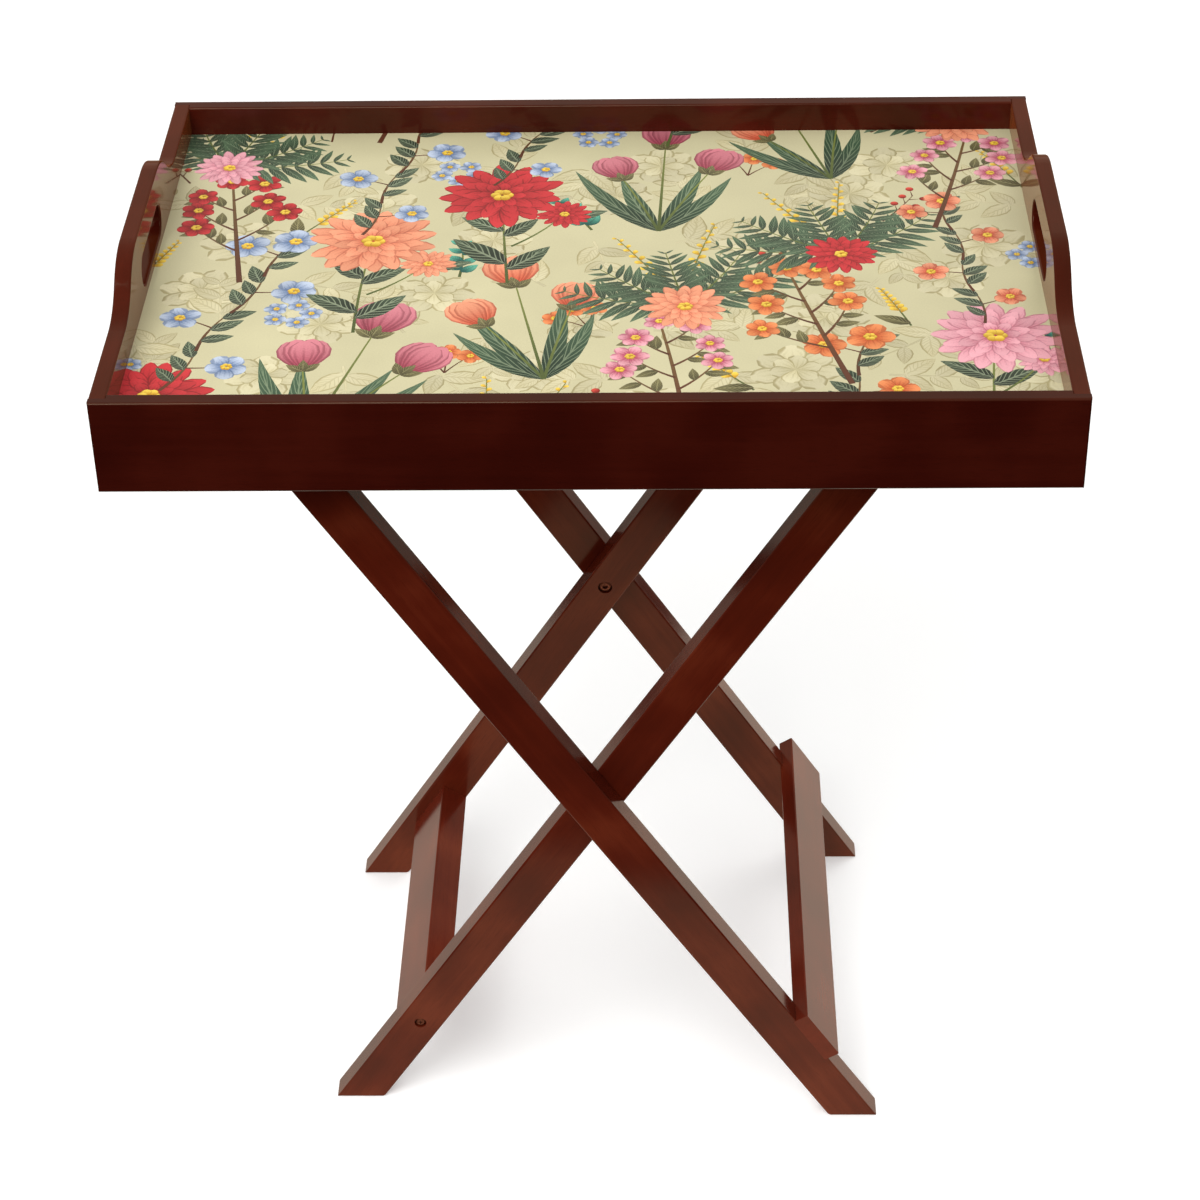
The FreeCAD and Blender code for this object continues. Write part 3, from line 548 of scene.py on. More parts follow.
@dataclass(frozen=True)
class Stroke:
    """One printed shape along a slightly bent spine; sizes in millimetres on the panel.

    Attributes:
        x: Root's place along the panel.
        y: Root's place across the panel.
        heading: Direction in which it grows, in radians.
        length: Length of the spine.
        half_width: Half of its greatest width.
        outline: Its shape.
        ink: Its inks.
        bend: Sideways reach of the tip as a share of the length.
        steps: Points along each side.
    """

    x: float
    y: float
    heading: float
    length: float
    half_width: float
    outline: Outline
    ink: Ink
    bend: float = 0.0
    steps: int = 7

    def point(self, along: float, across: float = 0.0) -> Vector:
        """Find a point of the stroke.

        Args:
            along: Share along the spine.
            across: Distance across it.

        Returns:
            Place on the panel.
        """
        forward = along * self.length
        sideways = across + self.bend * self.length * along ** 2
        cosine = math.cos(self.heading)
        sine = math.sin(self.heading)
        return Vector((
            self.x + forward * cosine - sideways * sine,
            self.y + forward * sine + sideways * cosine,
        ))

    def loop(self) -> list[Vector]:
        """Draw the outline.

        Returns:
            Points round the shape, anticlockwise.
        """
        shares = [(1.0 - math.cos(math.pi * step / self.steps)) / 2.0 for step in range(self.steps + 1)]
        closed = self.outline is not Outline.STEM
        right = [self.point(share, -self.half_width * self.outline.share(share)) for share in shares]
        back = shares[1:-1] if closed else shares
        left = [self.point(share, self.half_width * self.outline.share(share)) for share in reversed(back)]
        return right + left

    def reading(self, spot: Vector) -> tuple[float, float]:
        """Find where a spot lies on the stroke.

        Args:
            spot: Place on the panel.

        Returns:
            Share across from -1 to 1 and share along from 0 to 1.
        """
        away = spot - Vector((self.x, self.y))
        cosine = math.cos(self.heading)
        sine = math.sin(self.heading)
        along = min(1.0, max(0.0, (away.x * cosine + away.y * sine) / self.length))
        sideways = away.y * cosine - away.x * sine - self.bend * self.length * along ** 2
        width = self.half_width * self.outline.share(along)
        across = sideways / width if width > HAIR_LINE else 0.0
        return min(1.0, max(-1.0, across)), along


@dataclass
class GardenPrint:
    """A generic garden print in a half-drop repeat; sizes in millimetres.

    Attributes:
        width: Width of the panel.
        depth: Depth of the panel.
        columns: Plants side by side.
        rows: Plants one above the other.
        faint_step: Distance between the faint drawings on the paper.
        seed: Seed of the small differences between plants.
        strokes: Printed shapes, the lowest layer first.
    """

    width: float
    depth: float
    columns: int = 6
    rows: int = 3
    faint_step: float = 44.0
    seed: int = 23
    strokes: list[Stroke] = field(default_factory=list)

    def __post_init__(self) -> None:
        """Draw the whole print."""
        self.chance = random.Random(self.seed)
        self.faint_garden()
        self.fillers()
        self.plants()

    def around(self, value: float, share: float = 0.12) -> float:
        """Vary a size a little."""
        return value * self.chance.uniform(1.0 - share, 1.0 + share)

    def draw(self, *sizes: float, outline: Outline, ink: Ink, bend: float = 0.0, steps: int = 7) -> Stroke:
        """Add one stroke.

        Args:
            sizes: Its root along and across the panel, heading, length and half width.
            outline: Its shape.
            ink: Its inks.
            bend: Sideways reach of the tip as a share of the length.
            steps: Points along each side.

        Returns:
            The stroke.
        """
        stroke = Stroke(*sizes, outline=outline, ink=ink, bend=bend, steps=steps)
        self.strokes.append(stroke)
        return stroke

    def ring(
        self, x: float, y: float, radius: float, count: int, ink: Ink, turn: float, fat: float = 1.0,
    ) -> None:
        """Draw one ring of petals.

        Args:
            x: Flower's middle along the panel.
            y: Flower's middle across the panel.
            radius: Reach of the petals.
            count: Number of petals.
            ink: Their inks.
            turn: Heading of the first.
            fat: Width of a petal against its share of the ring.
        """
        for number in range(count):
            heading = turn + number * math.tau / count + self.chance.uniform(-0.06, 0.06)
            length = self.around(radius, 0.07)
            self.draw(x, y, heading, length, fat * 2.4 * radius / count, outline=Outline.PETAL, ink=ink,
                      bend=self.chance.uniform(-0.08, 0.08))

    def zinnia(self, x: float, y: float, radius: float, ink: Ink) -> None:
        """Draw a double flower of four rings of petals round a gold heart.

        Args:
            x: Its middle along the panel.
            y: Its middle across the panel.
            radius: Reach of the outer petals.
            ink: Inks of the petals.
        """
        turn = self.chance.uniform(0.0, math.tau)
        for number, (share, count) in enumerate(((1.0, 15), (0.8, 13), (0.6, 10), (0.4, 8))):
            self.ring(x, y, radius * share, count, ink, turn + 0.23 * number)
        self.heart(x, y, radius * 0.17)

    def heart(self, x: float, y: float, radius: float) -> None:
        """Draw a gold heart of small discs.

        Args:
            x: Its middle along the panel.
            y: Its middle across the panel.
            radius: Reach of the discs.
        """
        for number in range(6):
            angle = number * math.tau / 6
            self.draw(x + 0.6 * radius * math.cos(angle), y + 0.6 * radius * math.sin(angle) - 0.5 * radius,
                      math.pi / 2, radius, 0.5 * radius, outline=Outline.DISC, ink=Ink.GOLD, steps=5)

    def blossom(self, x: float, y: float, radius: float, ink: Ink, petals: int = 5) -> None:
        """Draw a single flower with a gold heart."""
        self.ring(x, y, radius, petals, ink, self.chance.uniform(0.0, math.tau), 0.95)
        self.heart(x, y, radius * 0.26)

    def leaf(self, x: float, y: float, heading: float, length: float, ink: Ink, slim: float = 0.2) -> None:
        """Draw one leaf with a slight bend."""
        self.draw(x, y, heading, length, slim * length, outline=Outline.LEAF, ink=ink,
                  bend=self.chance.uniform(-0.14, 0.14))

    def stem(
        self, x: float, y: float, heading: float, length: float, ink: Ink, bend: float, thick: float,
    ) -> Stroke:
        """Draw a stem, and give it back so that leaves can sit on it."""
        return self.draw(x, y, heading, length, thick, outline=Outline.STEM, ink=ink, bend=bend, steps=9)

    def leafy_stem(
        self, x: float, y: float, heading: float, length: float, leaf: float, pairs: int, ink: Ink,
        slim: float = 0.2,
    ) -> Vector:
        """Draw a stem with pairs of leaves.

        Args:
            x: Foot along the panel.
            y: Foot across the panel.
            heading: Direction of growth.
            length: Length of the stem.
            leaf: Length of the lowest leaves.
            pairs: Pairs of leaves.
            ink: Inks of the leaves.
            slim: Half width of a leaf against its length.

        Returns:
            Place of the stem's tip.
        """
        bend = self.chance.uniform(-0.16, 0.16)
        wood = Ink.FAINT_LEAF if ink is Ink.FAINT_LEAF else Ink.GREEN_STEM
        spine = self.stem(x, y, heading, length, wood, bend, 0.8)
        for pair in range(pairs):
            share = 0.18 + 0.74 * pair / max(1, pairs - 1)
            size = leaf * (1.0 - 0.45 * share)
            lean = heading + 2.0 * bend * share
            for side in (-1.0, 1.0):
                spot = spine.point(share + 0.03 * side)
                self.leaf(spot.x, spot.y, lean + side * self.around(0.85), self.around(size), ink, slim)
        return spine.point(1.0)

    def frond(self, x: float, y: float, heading: float, length: float, ink: Ink, bend: float) -> None:
        """Draw a feathered frond of narrow leaflets.

        Args:
            x: Foot along the panel.
            y: Foot across the panel.
            heading: Direction of growth.
            length: Length of the stem.
            ink: Inks of the leaflets.
            bend: Sideways reach of the tip as a share of the length.
        """
        spine = self.stem(x, y, heading, length, Ink.GREEN_STEM, bend, 0.6)
        for pair in range(9):
            share = 0.12 + 0.86 * pair / 8
            size = length * 0.34 * math.sin(math.pi * (0.18 + 0.78 * share)) + 2.0
            for side in (-1.0, 1.0):
                spot = spine.point(share)
                self.leaf(spot.x, spot.y, heading + 2.0 * bend * share + side * 0.95, size, ink, 0.13)

    def spike(self, x: float, y: float, heading: float, length: float, ink: Ink) -> None:
        """Draw a spike of small buds.

        Args:
            x: Foot along the panel.
            y: Foot across the panel.
            heading: Direction of growth.
            length: Length of the stem.
            ink: Inks of the buds.
        """
        spine = self.stem(x, y, heading, length, Ink.GREEN_STEM, self.chance.uniform(-0.1, 0.1), 0.6)
        for bud in range(14):
            share = 0.35 + 0.65 * bud / 13
            size = 4.6 * (1.15 - share * 0.75)
            spot = spine.point(share)
            side = 1.0 if bud % 2 else -1.0
            self.draw(spot.x, spot.y, heading + side * 0.7, size * 1.5, size * 0.5, outline=Outline.PETAL,
                      ink=ink, steps=5)

    def bell(self, x: float, y: float, heading: float, length: float, ink: Ink) -> None:
        """Draw a cup-shaped flower of overlapping petals.

        Args:
            x: Foot along the panel.
            y: Foot across the panel.
            heading: Direction of growth.
            length: Length of the flower.
            ink: Inks of the petals.
        """
        for side in (-1.0, 1.0):
            self.draw(x, y, heading + side * 0.42, length * 0.94, length * 0.24, outline=Outline.PETAL,
                      ink=ink, bend=-side * 0.12)
        for side in (-1.0, 1.0):
            self.draw(x, y, heading + side * 0.2, length * 0.98, length * 0.24, outline=Outline.PETAL,
                      ink=ink, bend=-side * 0.06)
        self.draw(x, y, heading, length * 0.92, length * 0.26, outline=Outline.PETAL, ink=ink)
        for side in (-1.0, 0.0, 1.0):
            self.leaf(x, y, heading + side * 0.9, length * 0.34, Ink.OLIVE_LEAF, 0.26)

    def berries(self, x: float, y: float, heading: float, length: float, ink: Ink) -> None:
        """Draw a twig with berries on short stalks.

        Args:
            x: Foot along the panel.
            y: Foot across the panel.
            heading: Direction of growth.
            length: Length of the twig.
            ink: Inks of the berries.
        """
        spine = self.stem(x, y, heading, length, Ink.TWIG, self.chance.uniform(-0.2, 0.2), 0.6)
        for number in range(6):
            spot = spine.point(0.3 + 0.14 * number)
            side = 1.0 if number % 2 else -1.0
            stalk = self.stem(spot.x, spot.y, heading + side * 0.8, length * 0.17, Ink.TWIG, 0.0, 0.4)
            end = stalk.point(1.0)
            self.draw(end.x, end.y, heading + side * 0.8, 4.6, 2.2, outline=Outline.DISC, ink=ink, steps=6)

    def faint_garden(self) -> None:
        """Cover the paper with faint line-drawn leaves and flowers."""
        step = self.faint_step
        for column in range(int(self.width / step) + 1):
            for row in range(int(self.depth / step) + 1):
                x = (column + 0.5 * (row % 2)) * step - self.width / 2 + self.chance.uniform(-9.0, 9.0)
                y = row * step - self.depth / 2 + self.chance.uniform(-9.0, 9.0)
                if (column + 2 * row) % 3 == 0:
                    radius = self.around(22.0)
                    turn = self.chance.uniform(0.0, math.tau)
                    self.ring(x, y, radius, 7, Ink.FAINT_PETAL, turn)
                    self.ring(x, y, radius * 0.6, 6, Ink.FAINT_PETAL, turn + 0.4)
                else:
                    heading = self.chance.uniform(0.0, math.tau)
                    length = self.around(42.0)
                    self.leafy_stem(x, y, heading, length, self.around(24.0), 3, Ink.FAINT_LEAF, 0.26)

    def fillers(self) -> None:
        """Set small sprays between the plants."""
        wide = self.width / self.columns
        deep = self.depth / self.rows
        for column in range(self.columns + 1):
            for row in range(self.rows + 1):
                x = (column + self.chance.uniform(-0.1, 0.1)) * wide - self.width / 2
                y = (row + 0.5 * ((column + 1) % 2) + self.chance.uniform(-0.1, 0.1)) * deep - self.depth / 2
                choice = (2 * column + 3 * row) % 5
                heading = math.pi / 2 + self.chance.uniform(-0.7, 0.7)
                if choice == 0:
                    for number in range(5):
                        angle = number * math.tau / 5 + heading
                        self.blossom(x + 10.0 * math.cos(angle), y + 9.0 * math.sin(angle), 6.2, Ink.SKY)
                elif choice == 1:
                    self.berries(x, y - 14.0, heading, self.around(34.0), Ink.BERRY)
                elif choice == 2:
                    self.leafy_stem(x, y - 14.0, heading, self.around(34.0), 14.0, 4, Ink.TEAL, 0.3)
                elif choice == 3:
                    self.spike(x, y - 18.0, heading, self.around(44.0), Ink.GOLD)
                    self.leaf(x, y - 16.0, heading + 0.8, 20.0, Ink.OLIVE_LEAF)
                else:
                    for side in (-1.0, 0.0, 1.0):
                        lean = heading + 0.5 * side
                        end = self.stem(x, y - 12.0, lean, 20.0, Ink.TWIG, 0.1 * side, 0.5).point(1.0)
                        self.blossom(end.x, end.y, 7.0, Ink.ORANGE)

    def plants(self) -> None:
        """Set the main plants in a half-drop repeat."""
        wide = self.width / self.columns
        deep = self.depth / self.rows
        kinds = (self.zinnia_plant, self.blossom_bush, self.bell_plant, self.vine, self.fern_fan)
        for column in range(self.columns):
            for row in range(self.rows + 1):
                x = (column + 0.5 + self.chance.uniform(-0.08, 0.08)) * wide - self.width / 2
                y = (row + 0.5 * (column % 2) - 0.05) * deep - self.depth / 2
                first = len(self.strokes)
                kinds[(2 * column + 3 * row) % len(kinds)](x, y, (column + row) % 4)
                self.lean_plant(first, x, y, self.chance.uniform(-0.3, 0.3), self.around(1.08, 0.1))

    def lean_plant(self, first: int, x: float, y: float, turn: float, size: float) -> None:
        """Turn and scale the last plant about its middle.

        Args:
            first: Number of the plant's first stroke.
            x: Its middle along the panel.
            y: Its middle across the panel.
            turn: Turn in radians.
            size: Scale.
        """
        cosine = size * math.cos(turn)
        sine = size * math.sin(turn)
        for number in range(first, len(self.strokes)):
            stroke = self.strokes[number]
            aside = stroke.x - x
            above = stroke.y - y
            self.strokes[number] = replace(
                stroke, x=x + aside * cosine - above * sine, y=y + aside * sine + above * cosine,
                heading=stroke.heading + turn, length=stroke.length * size,
                half_width=stroke.half_width * size,
            )

    def zinnia_plant(self, x: float, y: float, number: int) -> None:
        """Draw a tall stem with one large double flower and a bud.

        Args:
            x: Its middle along the panel.
            y: Its middle across the panel.
            number: Which of the plant's inks it takes.
        """
        ink = (Ink.CRIMSON, Ink.PINK, Ink.CORAL, Ink.DUSTY_ROSE)[number]
        lean = math.pi / 2 + self.chance.uniform(-0.2, 0.2)
        tip = self.leafy_stem(x, y - 56.0, lean, 84.0, 34.0, 3, Ink.DARK_LEAF)
        side = self.stem(x, y - 22.0, math.pi / 2 - 0.85, 38.0, Ink.GREEN_STEM, 0.2, 0.7).point(1.0)
        self.leaf(side.x, side.y - 5.0, 0.4, 22.0, Ink.DARK_LEAF)
        self.zinnia(side.x, side.y, 13.0, ink)
        self.zinnia(tip.x, tip.y, self.around(31.0, 0.08), ink)

    def blossom_bush(self, x: float, y: float, number: int) -> None:
        """Draw a branching bush with small flowers at its ends.

        Args:
            x: Its middle along the panel.
            y: Its middle across the panel.
            number: Which of the plant's inks it takes.
        """
        ink = (Ink.CRIMSON, Ink.ORANGE, Ink.CRIMSON, Ink.PINK)[number]
        trunk = self.stem(x, y - 60.0, math.pi / 2, 108.0, Ink.TWIG, self.chance.uniform(-0.08, 0.08), 1.5)
        ends = [trunk.point(1.0)]
        for branch in range(6):
            share = 0.3 + 0.1 * branch
            side = 1.0 if branch % 2 else -1.0
            spot = trunk.point(share)
            lean = math.pi / 2 - side * self.around(0.9)
            arm = self.stem(spot.x, spot.y, lean, self.around(46.0 - 30.0 * share), Ink.TWIG, side * 0.2, 0.8)
            for step in (0.35, 0.6, 0.85):
                twig = arm.point(step)
                self.leaf(twig.x, twig.y, arm.heading + self.chance.choice((-0.9, 0.9)), self.around(12.0),
                          Ink.OLIVE_LEAF, 0.24)
            ends.append(arm.point(1.0))
        for end in ends:
            self.blossom(end.x, end.y, self.around(9.0), ink, 6)

    def bell_plant(self, x: float, y: float, number: int) -> None:
        """Draw three cup-shaped flowers over strap leaves.

        Args:
            x: Its middle along the panel.
            y: Its middle across the panel.
            number: Which of the plant's inks it takes.
        """
        ink = (Ink.PINK, Ink.DUSTY_ROSE, Ink.PINK, Ink.CORAL)[number]
        for lean in (-0.75, -0.4, 0.45, 0.8):
            self.draw(x, y - 54.0, math.pi / 2 + lean, self.around(66.0), 5.0, outline=Outline.LEAF,
                      ink=Ink.FERN_LEAF, bend=-0.25 * lean, steps=9)
        for lean, length in ((-0.34, 62.0), (0.3, 54.0), (-0.02, 84.0)):
            stalk = self.stem(x, y - 54.0, math.pi / 2 + lean, length, Ink.GREEN_STEM, 0.12 * lean, 0.9)
            end = stalk.point(1.0)
            self.bell(end.x, end.y, math.pi / 2 + lean, self.around(29.0), ink)

    def vine(self, x: float, y: float, number: int) -> None:
        """Draw a winding vine with single flowers on alternate sides.

        Args:
            x: Its middle along the panel.
            y: Its middle across the panel.
            number: Which of the plant's inks it takes.
        """
        ink = (Ink.ORANGE, Ink.SKY, Ink.CORAL, Ink.SKY)[number]
        spot = Vector((x - 8.0, y - 58.0))
        heading = math.pi / 2 - 0.45
        for part in range(4):
            side = 1.0 if part % 2 else -1.0
            run = self.stem(spot.x, spot.y, heading, 32.0, Ink.TWIG, 0.28 * -side, 0.9)
            for share in (0.25, 0.55, 0.85):
                bud = run.point(share)
                lean = heading - side * self.around(1.1)
                self.leaf(bud.x, bud.y, lean, self.around(15.0), Ink.DARK_LEAF, 0.24)
            fork = run.point(0.6)
            end = self.stem(fork.x, fork.y, heading + side, 17.0, Ink.TWIG, 0.1, 0.5).point(1.0)
            self.blossom(end.x, end.y, self.around(9.5), ink)
            spot = run.point(1.0)
            heading += -side * 0.56
        self.blossom(spot.x, spot.y, 11.0, ink)

    def fern_fan(self, x: float, y: float, number: int) -> None:
        """Draw a fan of fronds with gold spikes and one double flower at its foot.

        Args:
            x: Its middle along the panel.
            y: Its middle across the panel.
            number: Which of the plant's inks it takes.
        """
        ink = (Ink.CORAL, Ink.DUSTY_ROSE, Ink.CRIMSON, Ink.PINK)[number]
        for lean in (-0.3, 0.28):
            self.spike(x, y - 30.0, math.pi / 2 + lean, self.around(72.0), Ink.GOLD)
        for lean in (-1.35, 1.35, -0.8, 0.8, 0.0):
            self.frond(x, y - 34.0, math.pi / 2 + lean, self.around(54.0), Ink.FERN_LEAF, -0.16 * lean)
        self.zinnia(x, y - 34.0, self.around(20.0), ink)


@dataclass
class PrintedPanel:
    """The printed sheet that lies on the tray's base board.

    Attributes:
        node: CAD node that it stands for.
        enlarge: Scale at which the garden print is laid on the sheet.
        draw_out: Distance in millimetres by which each edge is drawn out to the walls, so that no gap shows.
        finish: Its finish.
    """

    node: str = "tray_print_sheet"
    enlarge: float = 1.28
    draw_out: float = 0.28
    finish: PrintedLaminate = PrintedLaminate()

    def build(self) -> bpy.types.Mesh:
        """Build the sheet as one closed solid whose top is divided along the printed strokes.

        Returns:
            The mesh, with the inks as its attributes.
        """
        low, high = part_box(self.node)
        centre = (low + high) / 2
        unit = MM * self.enlarge
        spread = Vector((1.0, 1.0, 0.0)) * 2 * self.draw_out * MM
        size = (high - low + spread) / unit
        design = GardenPrint(size.x, size.y)
        corners = [Vector((x * size.x / 2, y * size.y / 2)) for x, y in ((-1, -1), (1, -1), (1, 1), (-1, 1))]
        points = list(corners)
        shapes = [[0, 1, 2, 3]]
        for stroke in design.strokes:
            loop = stroke.loop()
            shapes.append(list(range(len(points), len(points) + len(loop))))
            points.extend(loop)
        spots, _, faces, _, _, owners = delaunay_2d_cdt(points, [], shapes, 1, 1e-4)
        kept = [(list(face), max(owner)) for face, owner in zip(faces, owners) if 0 in owner]
        used = sorted({corner for face, _ in kept for corner in face})
        place = {corner: number for number, corner in enumerate(used)}
        flat = [Vector(spots[corner]) for corner in used]
        top = [[place[corner] for corner in face] for face, _ in kept]
        rim = self.rim_of(top)
        places = [(centre.x + spot.x * unit, centre.y + spot.y * unit, high.z) for spot in flat]
        count = len(places)
        places += [(places[corner][0], places[corner][1], low.z) for corner in rim]
        under = {corner: count + number for number, corner in enumerate(rim)}
        pairs = zip(rim, rim[1:] + rim[:1])
        sides = [[second, first, under[first], under[second]] for first, second in pairs]
        mesh = bpy.data.meshes.new("printed_panel")
        mesh.from_pydata(places, [], top + sides + [[under[corner] for corner in reversed(rim)]])
        self.print_inks(mesh, design.strokes, [owner - 1 for _, owner in kept], flat)
        return mesh

    @staticmethod
    def rim_of(top: list[list[int]]) -> list[int]:
        """Find the loop of corners round the sheet.

        Args:
            top: Faces of the top.

        Returns:
            Corners in anticlockwise order.
        """
        edges = {(face[i], face[(i + 1) % len(face)]) for face in top for i in range(len(face))}
        follow = {first: second for first, second in edges if (second, first) not in edges}
        loop = [next(iter(follow))]
        while follow[loop[-1]] != loop[0]:
            loop.append(follow[loop[-1]])
        return loop

    @staticmethod
    def print_inks(
        mesh: bpy.types.Mesh, strokes: list[Stroke], owners: list[int], flat: list[Vector],
    ) -> None:
        """Write each face's stroke and inks to the mesh.

        Args:
            mesh: The sheet, top faces first.
            strokes: The print's strokes.
            owners: For each top face the number of its stroke, or -1 for bare paper.
            flat: Places of the top's corners in millimetres.
        """
        chance = random.Random(SHADE_SEED)
        shades = [chance.uniform(-1.0, 1.0) for _ in strokes]
        paper = Ink.PAPER.value
        readings: list[float] = []
        inks: dict[str, list[float]] = {"root_ink": [], "tip_ink": [], "line_ink": []}
        for face in mesh.polygons:
            owner = owners[face.index] if face.index < len(owners) else -1
            ink = strokes[owner].ink.value if owner >= 0 else paper
            root = (*linear(ink.root)[:3], ink.edge)
            tip = (*linear(ink.tip)[:3], ink.veins)
            line = (*linear(ink.line)[:3], ink.streaks)
            for corner in face.vertices:
                across, along = strokes[owner].reading(flat[corner]) if owner >= 0 else (0.0, 0.0)
                readings.extend((across, along, shades[owner] if owner >= 0 else 0.0))
                inks["root_ink"].extend(root)
                inks["tip_ink"].extend(tip)
                inks["line_ink"].extend(line)
        mesh.attributes.new("stroke", "FLOAT_VECTOR", "CORNER").data.foreach_set("vector", readings)
        for name, values in inks.items():
            mesh.attributes.new(name, "FLOAT_COLOR", "CORNER").data.foreach_set("color", values)

    def dress(self) -> bpy.types.Object:
        """Set the sheet in the tray in place of its plain solid.

        Returns:
            The sheet.
        """
        piece = new_piece("printed_panel", self.build(), self.finish.material())
        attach(piece, "tray")
        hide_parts(self.node)
        return piece


@dataclass
class WebbingStraps:
    """The two webbing straps that stop the stand from spreading; sizes in millimetres.

    Attributes:
        thick: Thickness of the webbing.
        ease: Distance from a bend's corner at which the strap starts to turn.
        nip: Share of that distance at which it has nearly turned.
        runs: Parts of the level span.
        tab_runs: Parts of an end that is tacked to a rail.
        finish: Its finish.
    """

    thick: float = 1.6
    ease: float = 7.0
    nip: float = 0.3
    runs: int = 48
    tab_runs: int = 4
    finish: CottonWebbing = CottonWebbing()

    def build(self, node: str) -> tuple[bpy.types.Mesh, float]:
        """Build one strap along its CAD solid.

        Args:
            node: CAD node of the strap.

        Returns:
            The mesh, and the strap's flat length in metres.
        """
        low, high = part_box(node)
        half = self.thick * MM / 2
        drop = high.z - low.z
        slope = Vector((math.cos(LEG_SLOPE), -math.sin(LEG_SLOPE)))
        reach = drop / math.tan(LEG_SLOPE)
        lift = half * math.tan(LEG_SLOPE / 2)
        first_bend = Vector((low.x + reach + lift, low.z + half))
        last_bend = Vector((high.x - reach - lift, low.z + half))
        tab = drop / math.sin(LEG_SLOPE) - half
        rise = Vector((slope.x, -slope.y))
        ease = self.ease * MM
        nip = ease * self.nip
        clear = ease + nip
        span = last_bend.x - first_bend.x
        ends = [ease + (tab - ease) * step / self.tab_runs for step in range(self.tab_runs + 1)]
        level = [span * step / self.runs for step in range(1, self.runs)]
        level = [run for run in level if clear < run < span - clear]
        line = [first_bend - slope * run for run in reversed(ends)]
        line.append(first_bend - slope * nip)
        line += [first_bend + Vector((run, 0.0)) for run in (nip, ease, *level)]
        line += [last_bend - Vector((run, 0.0)) for run in (ease, nip)]
        line.append(last_bend + rise * nip)
        line += [last_bend + rise * run for run in ends]
        middle = (low.y + high.y) / 2
        wide = (high.y - low.y) / 2
        return self.ribbon(node, line, middle, wide, half), span + 2 * tab

    @staticmethod
    def ribbon(name: str, line: list[Vector], middle: float, wide: float, half: float) -> bpy.types.Mesh:
        """Lay a flat band with rounded selvedges along a line.

        Args:
            name: Name of the mesh.
            line: Places along the strap, in X and Z.
            middle: Y of the strap's middle.
            wide: Half of its width.
            half: Half of its thickness.

        Returns:
            The closed mesh, with its map of millimetres along and across.
        """
        under = [(-1.0, 0.0), (-0.97, -0.7), (-0.9, -1.0), (-0.45, -1.0), (0.0, -1.0), (0.45, -1.0),
                 (0.9, -1.0), (0.97, -0.7)]
        section = under + [(-side, -up) for side, up in under]
        shape = bmesh.new()
        weave = shape.loops.layers.uv.new("weave")
        rings = []
        walked = [0.0]
        for number, spot in enumerate(line):
            before = line[max(0, number - 1)]
            after = line[min(len(line) - 1, number + 1)]
            run = (after - before).normalized()
            out = Vector((-run.y, run.x))
            if number:
                walked.append(walked[-1] + (spot - before).length / MM)
            rings.append([
                shape.verts.new((
                    spot.x + out.x * half * up, middle + wide * side, spot.y + out.y * half * up,
                ))
                for side, up in section
            ])
        count = len(section)
        for number in range(len(rings) - 1):
            for corner in range(count):
                following = (corner + 1) % count
                face = shape.faces.new((rings[number][corner], rings[number][following],
                                        rings[number + 1][following], rings[number + 1][corner]))
                face.smooth = True
                marks = ((number, corner), (number, following), (number + 1, following), (number + 1, corner))
                for loop, (step, edge) in zip(face.loops, marks):
                    loop[weave].uv = (walked[step], section[edge][0] * wide / MM)
        shape.faces.new(reversed(rings[0]))
        shape.faces.new(rings[-1])
        bmesh.ops.recalc_face_normals(shape, faces=shape.faces)
        mesh = bpy.data.meshes.new(name)
        shape.to_mesh(mesh)
        shape.free()
        return mesh

    def dress(self) -> list[bpy.types.Object]:
        """Hang both straps between the top rails.

        Returns:
            The two straps.
        """
        finish = self.finish.material()
        straps = []
        for node in ("front_strap", "back_strap"):
            mesh, length = self.build(node)
            strap = new_piece(node + "_webbing", mesh, finish)
            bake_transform(strap)
            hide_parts(node)
            straps.append(strap)
        return straps


class Recess(Enum):
    """Shape that the driver's bit leaves in a screw head."""

    CROSS = "cross"
    HEXAGON = "hexagon"
    NONE = "none"

    def loop(self, radius: float) -> list[tuple[float, float]]:
        """Draw the recess.

        Args:
            radius: Radius of the screw's head.

        Returns:
            Points round it, anticlockwise.
        """
        if self is Recess.HEXAGON:
            reach = 0.46 * radius
            angles = [number * math.tau / 6 for number in range(6)]
            return [(reach * math.cos(angle), reach * math.sin(angle)) for angle in angles]
        arm = 0.5 * radius
        side = 0.11 * radius
        quarter = [(arm, -side), (arm, side), (side, side)]
        loop = []
        for _ in range(4):
            loop += quarter
            quarter = [(-y, x) for x, y in quarter]
        return loop


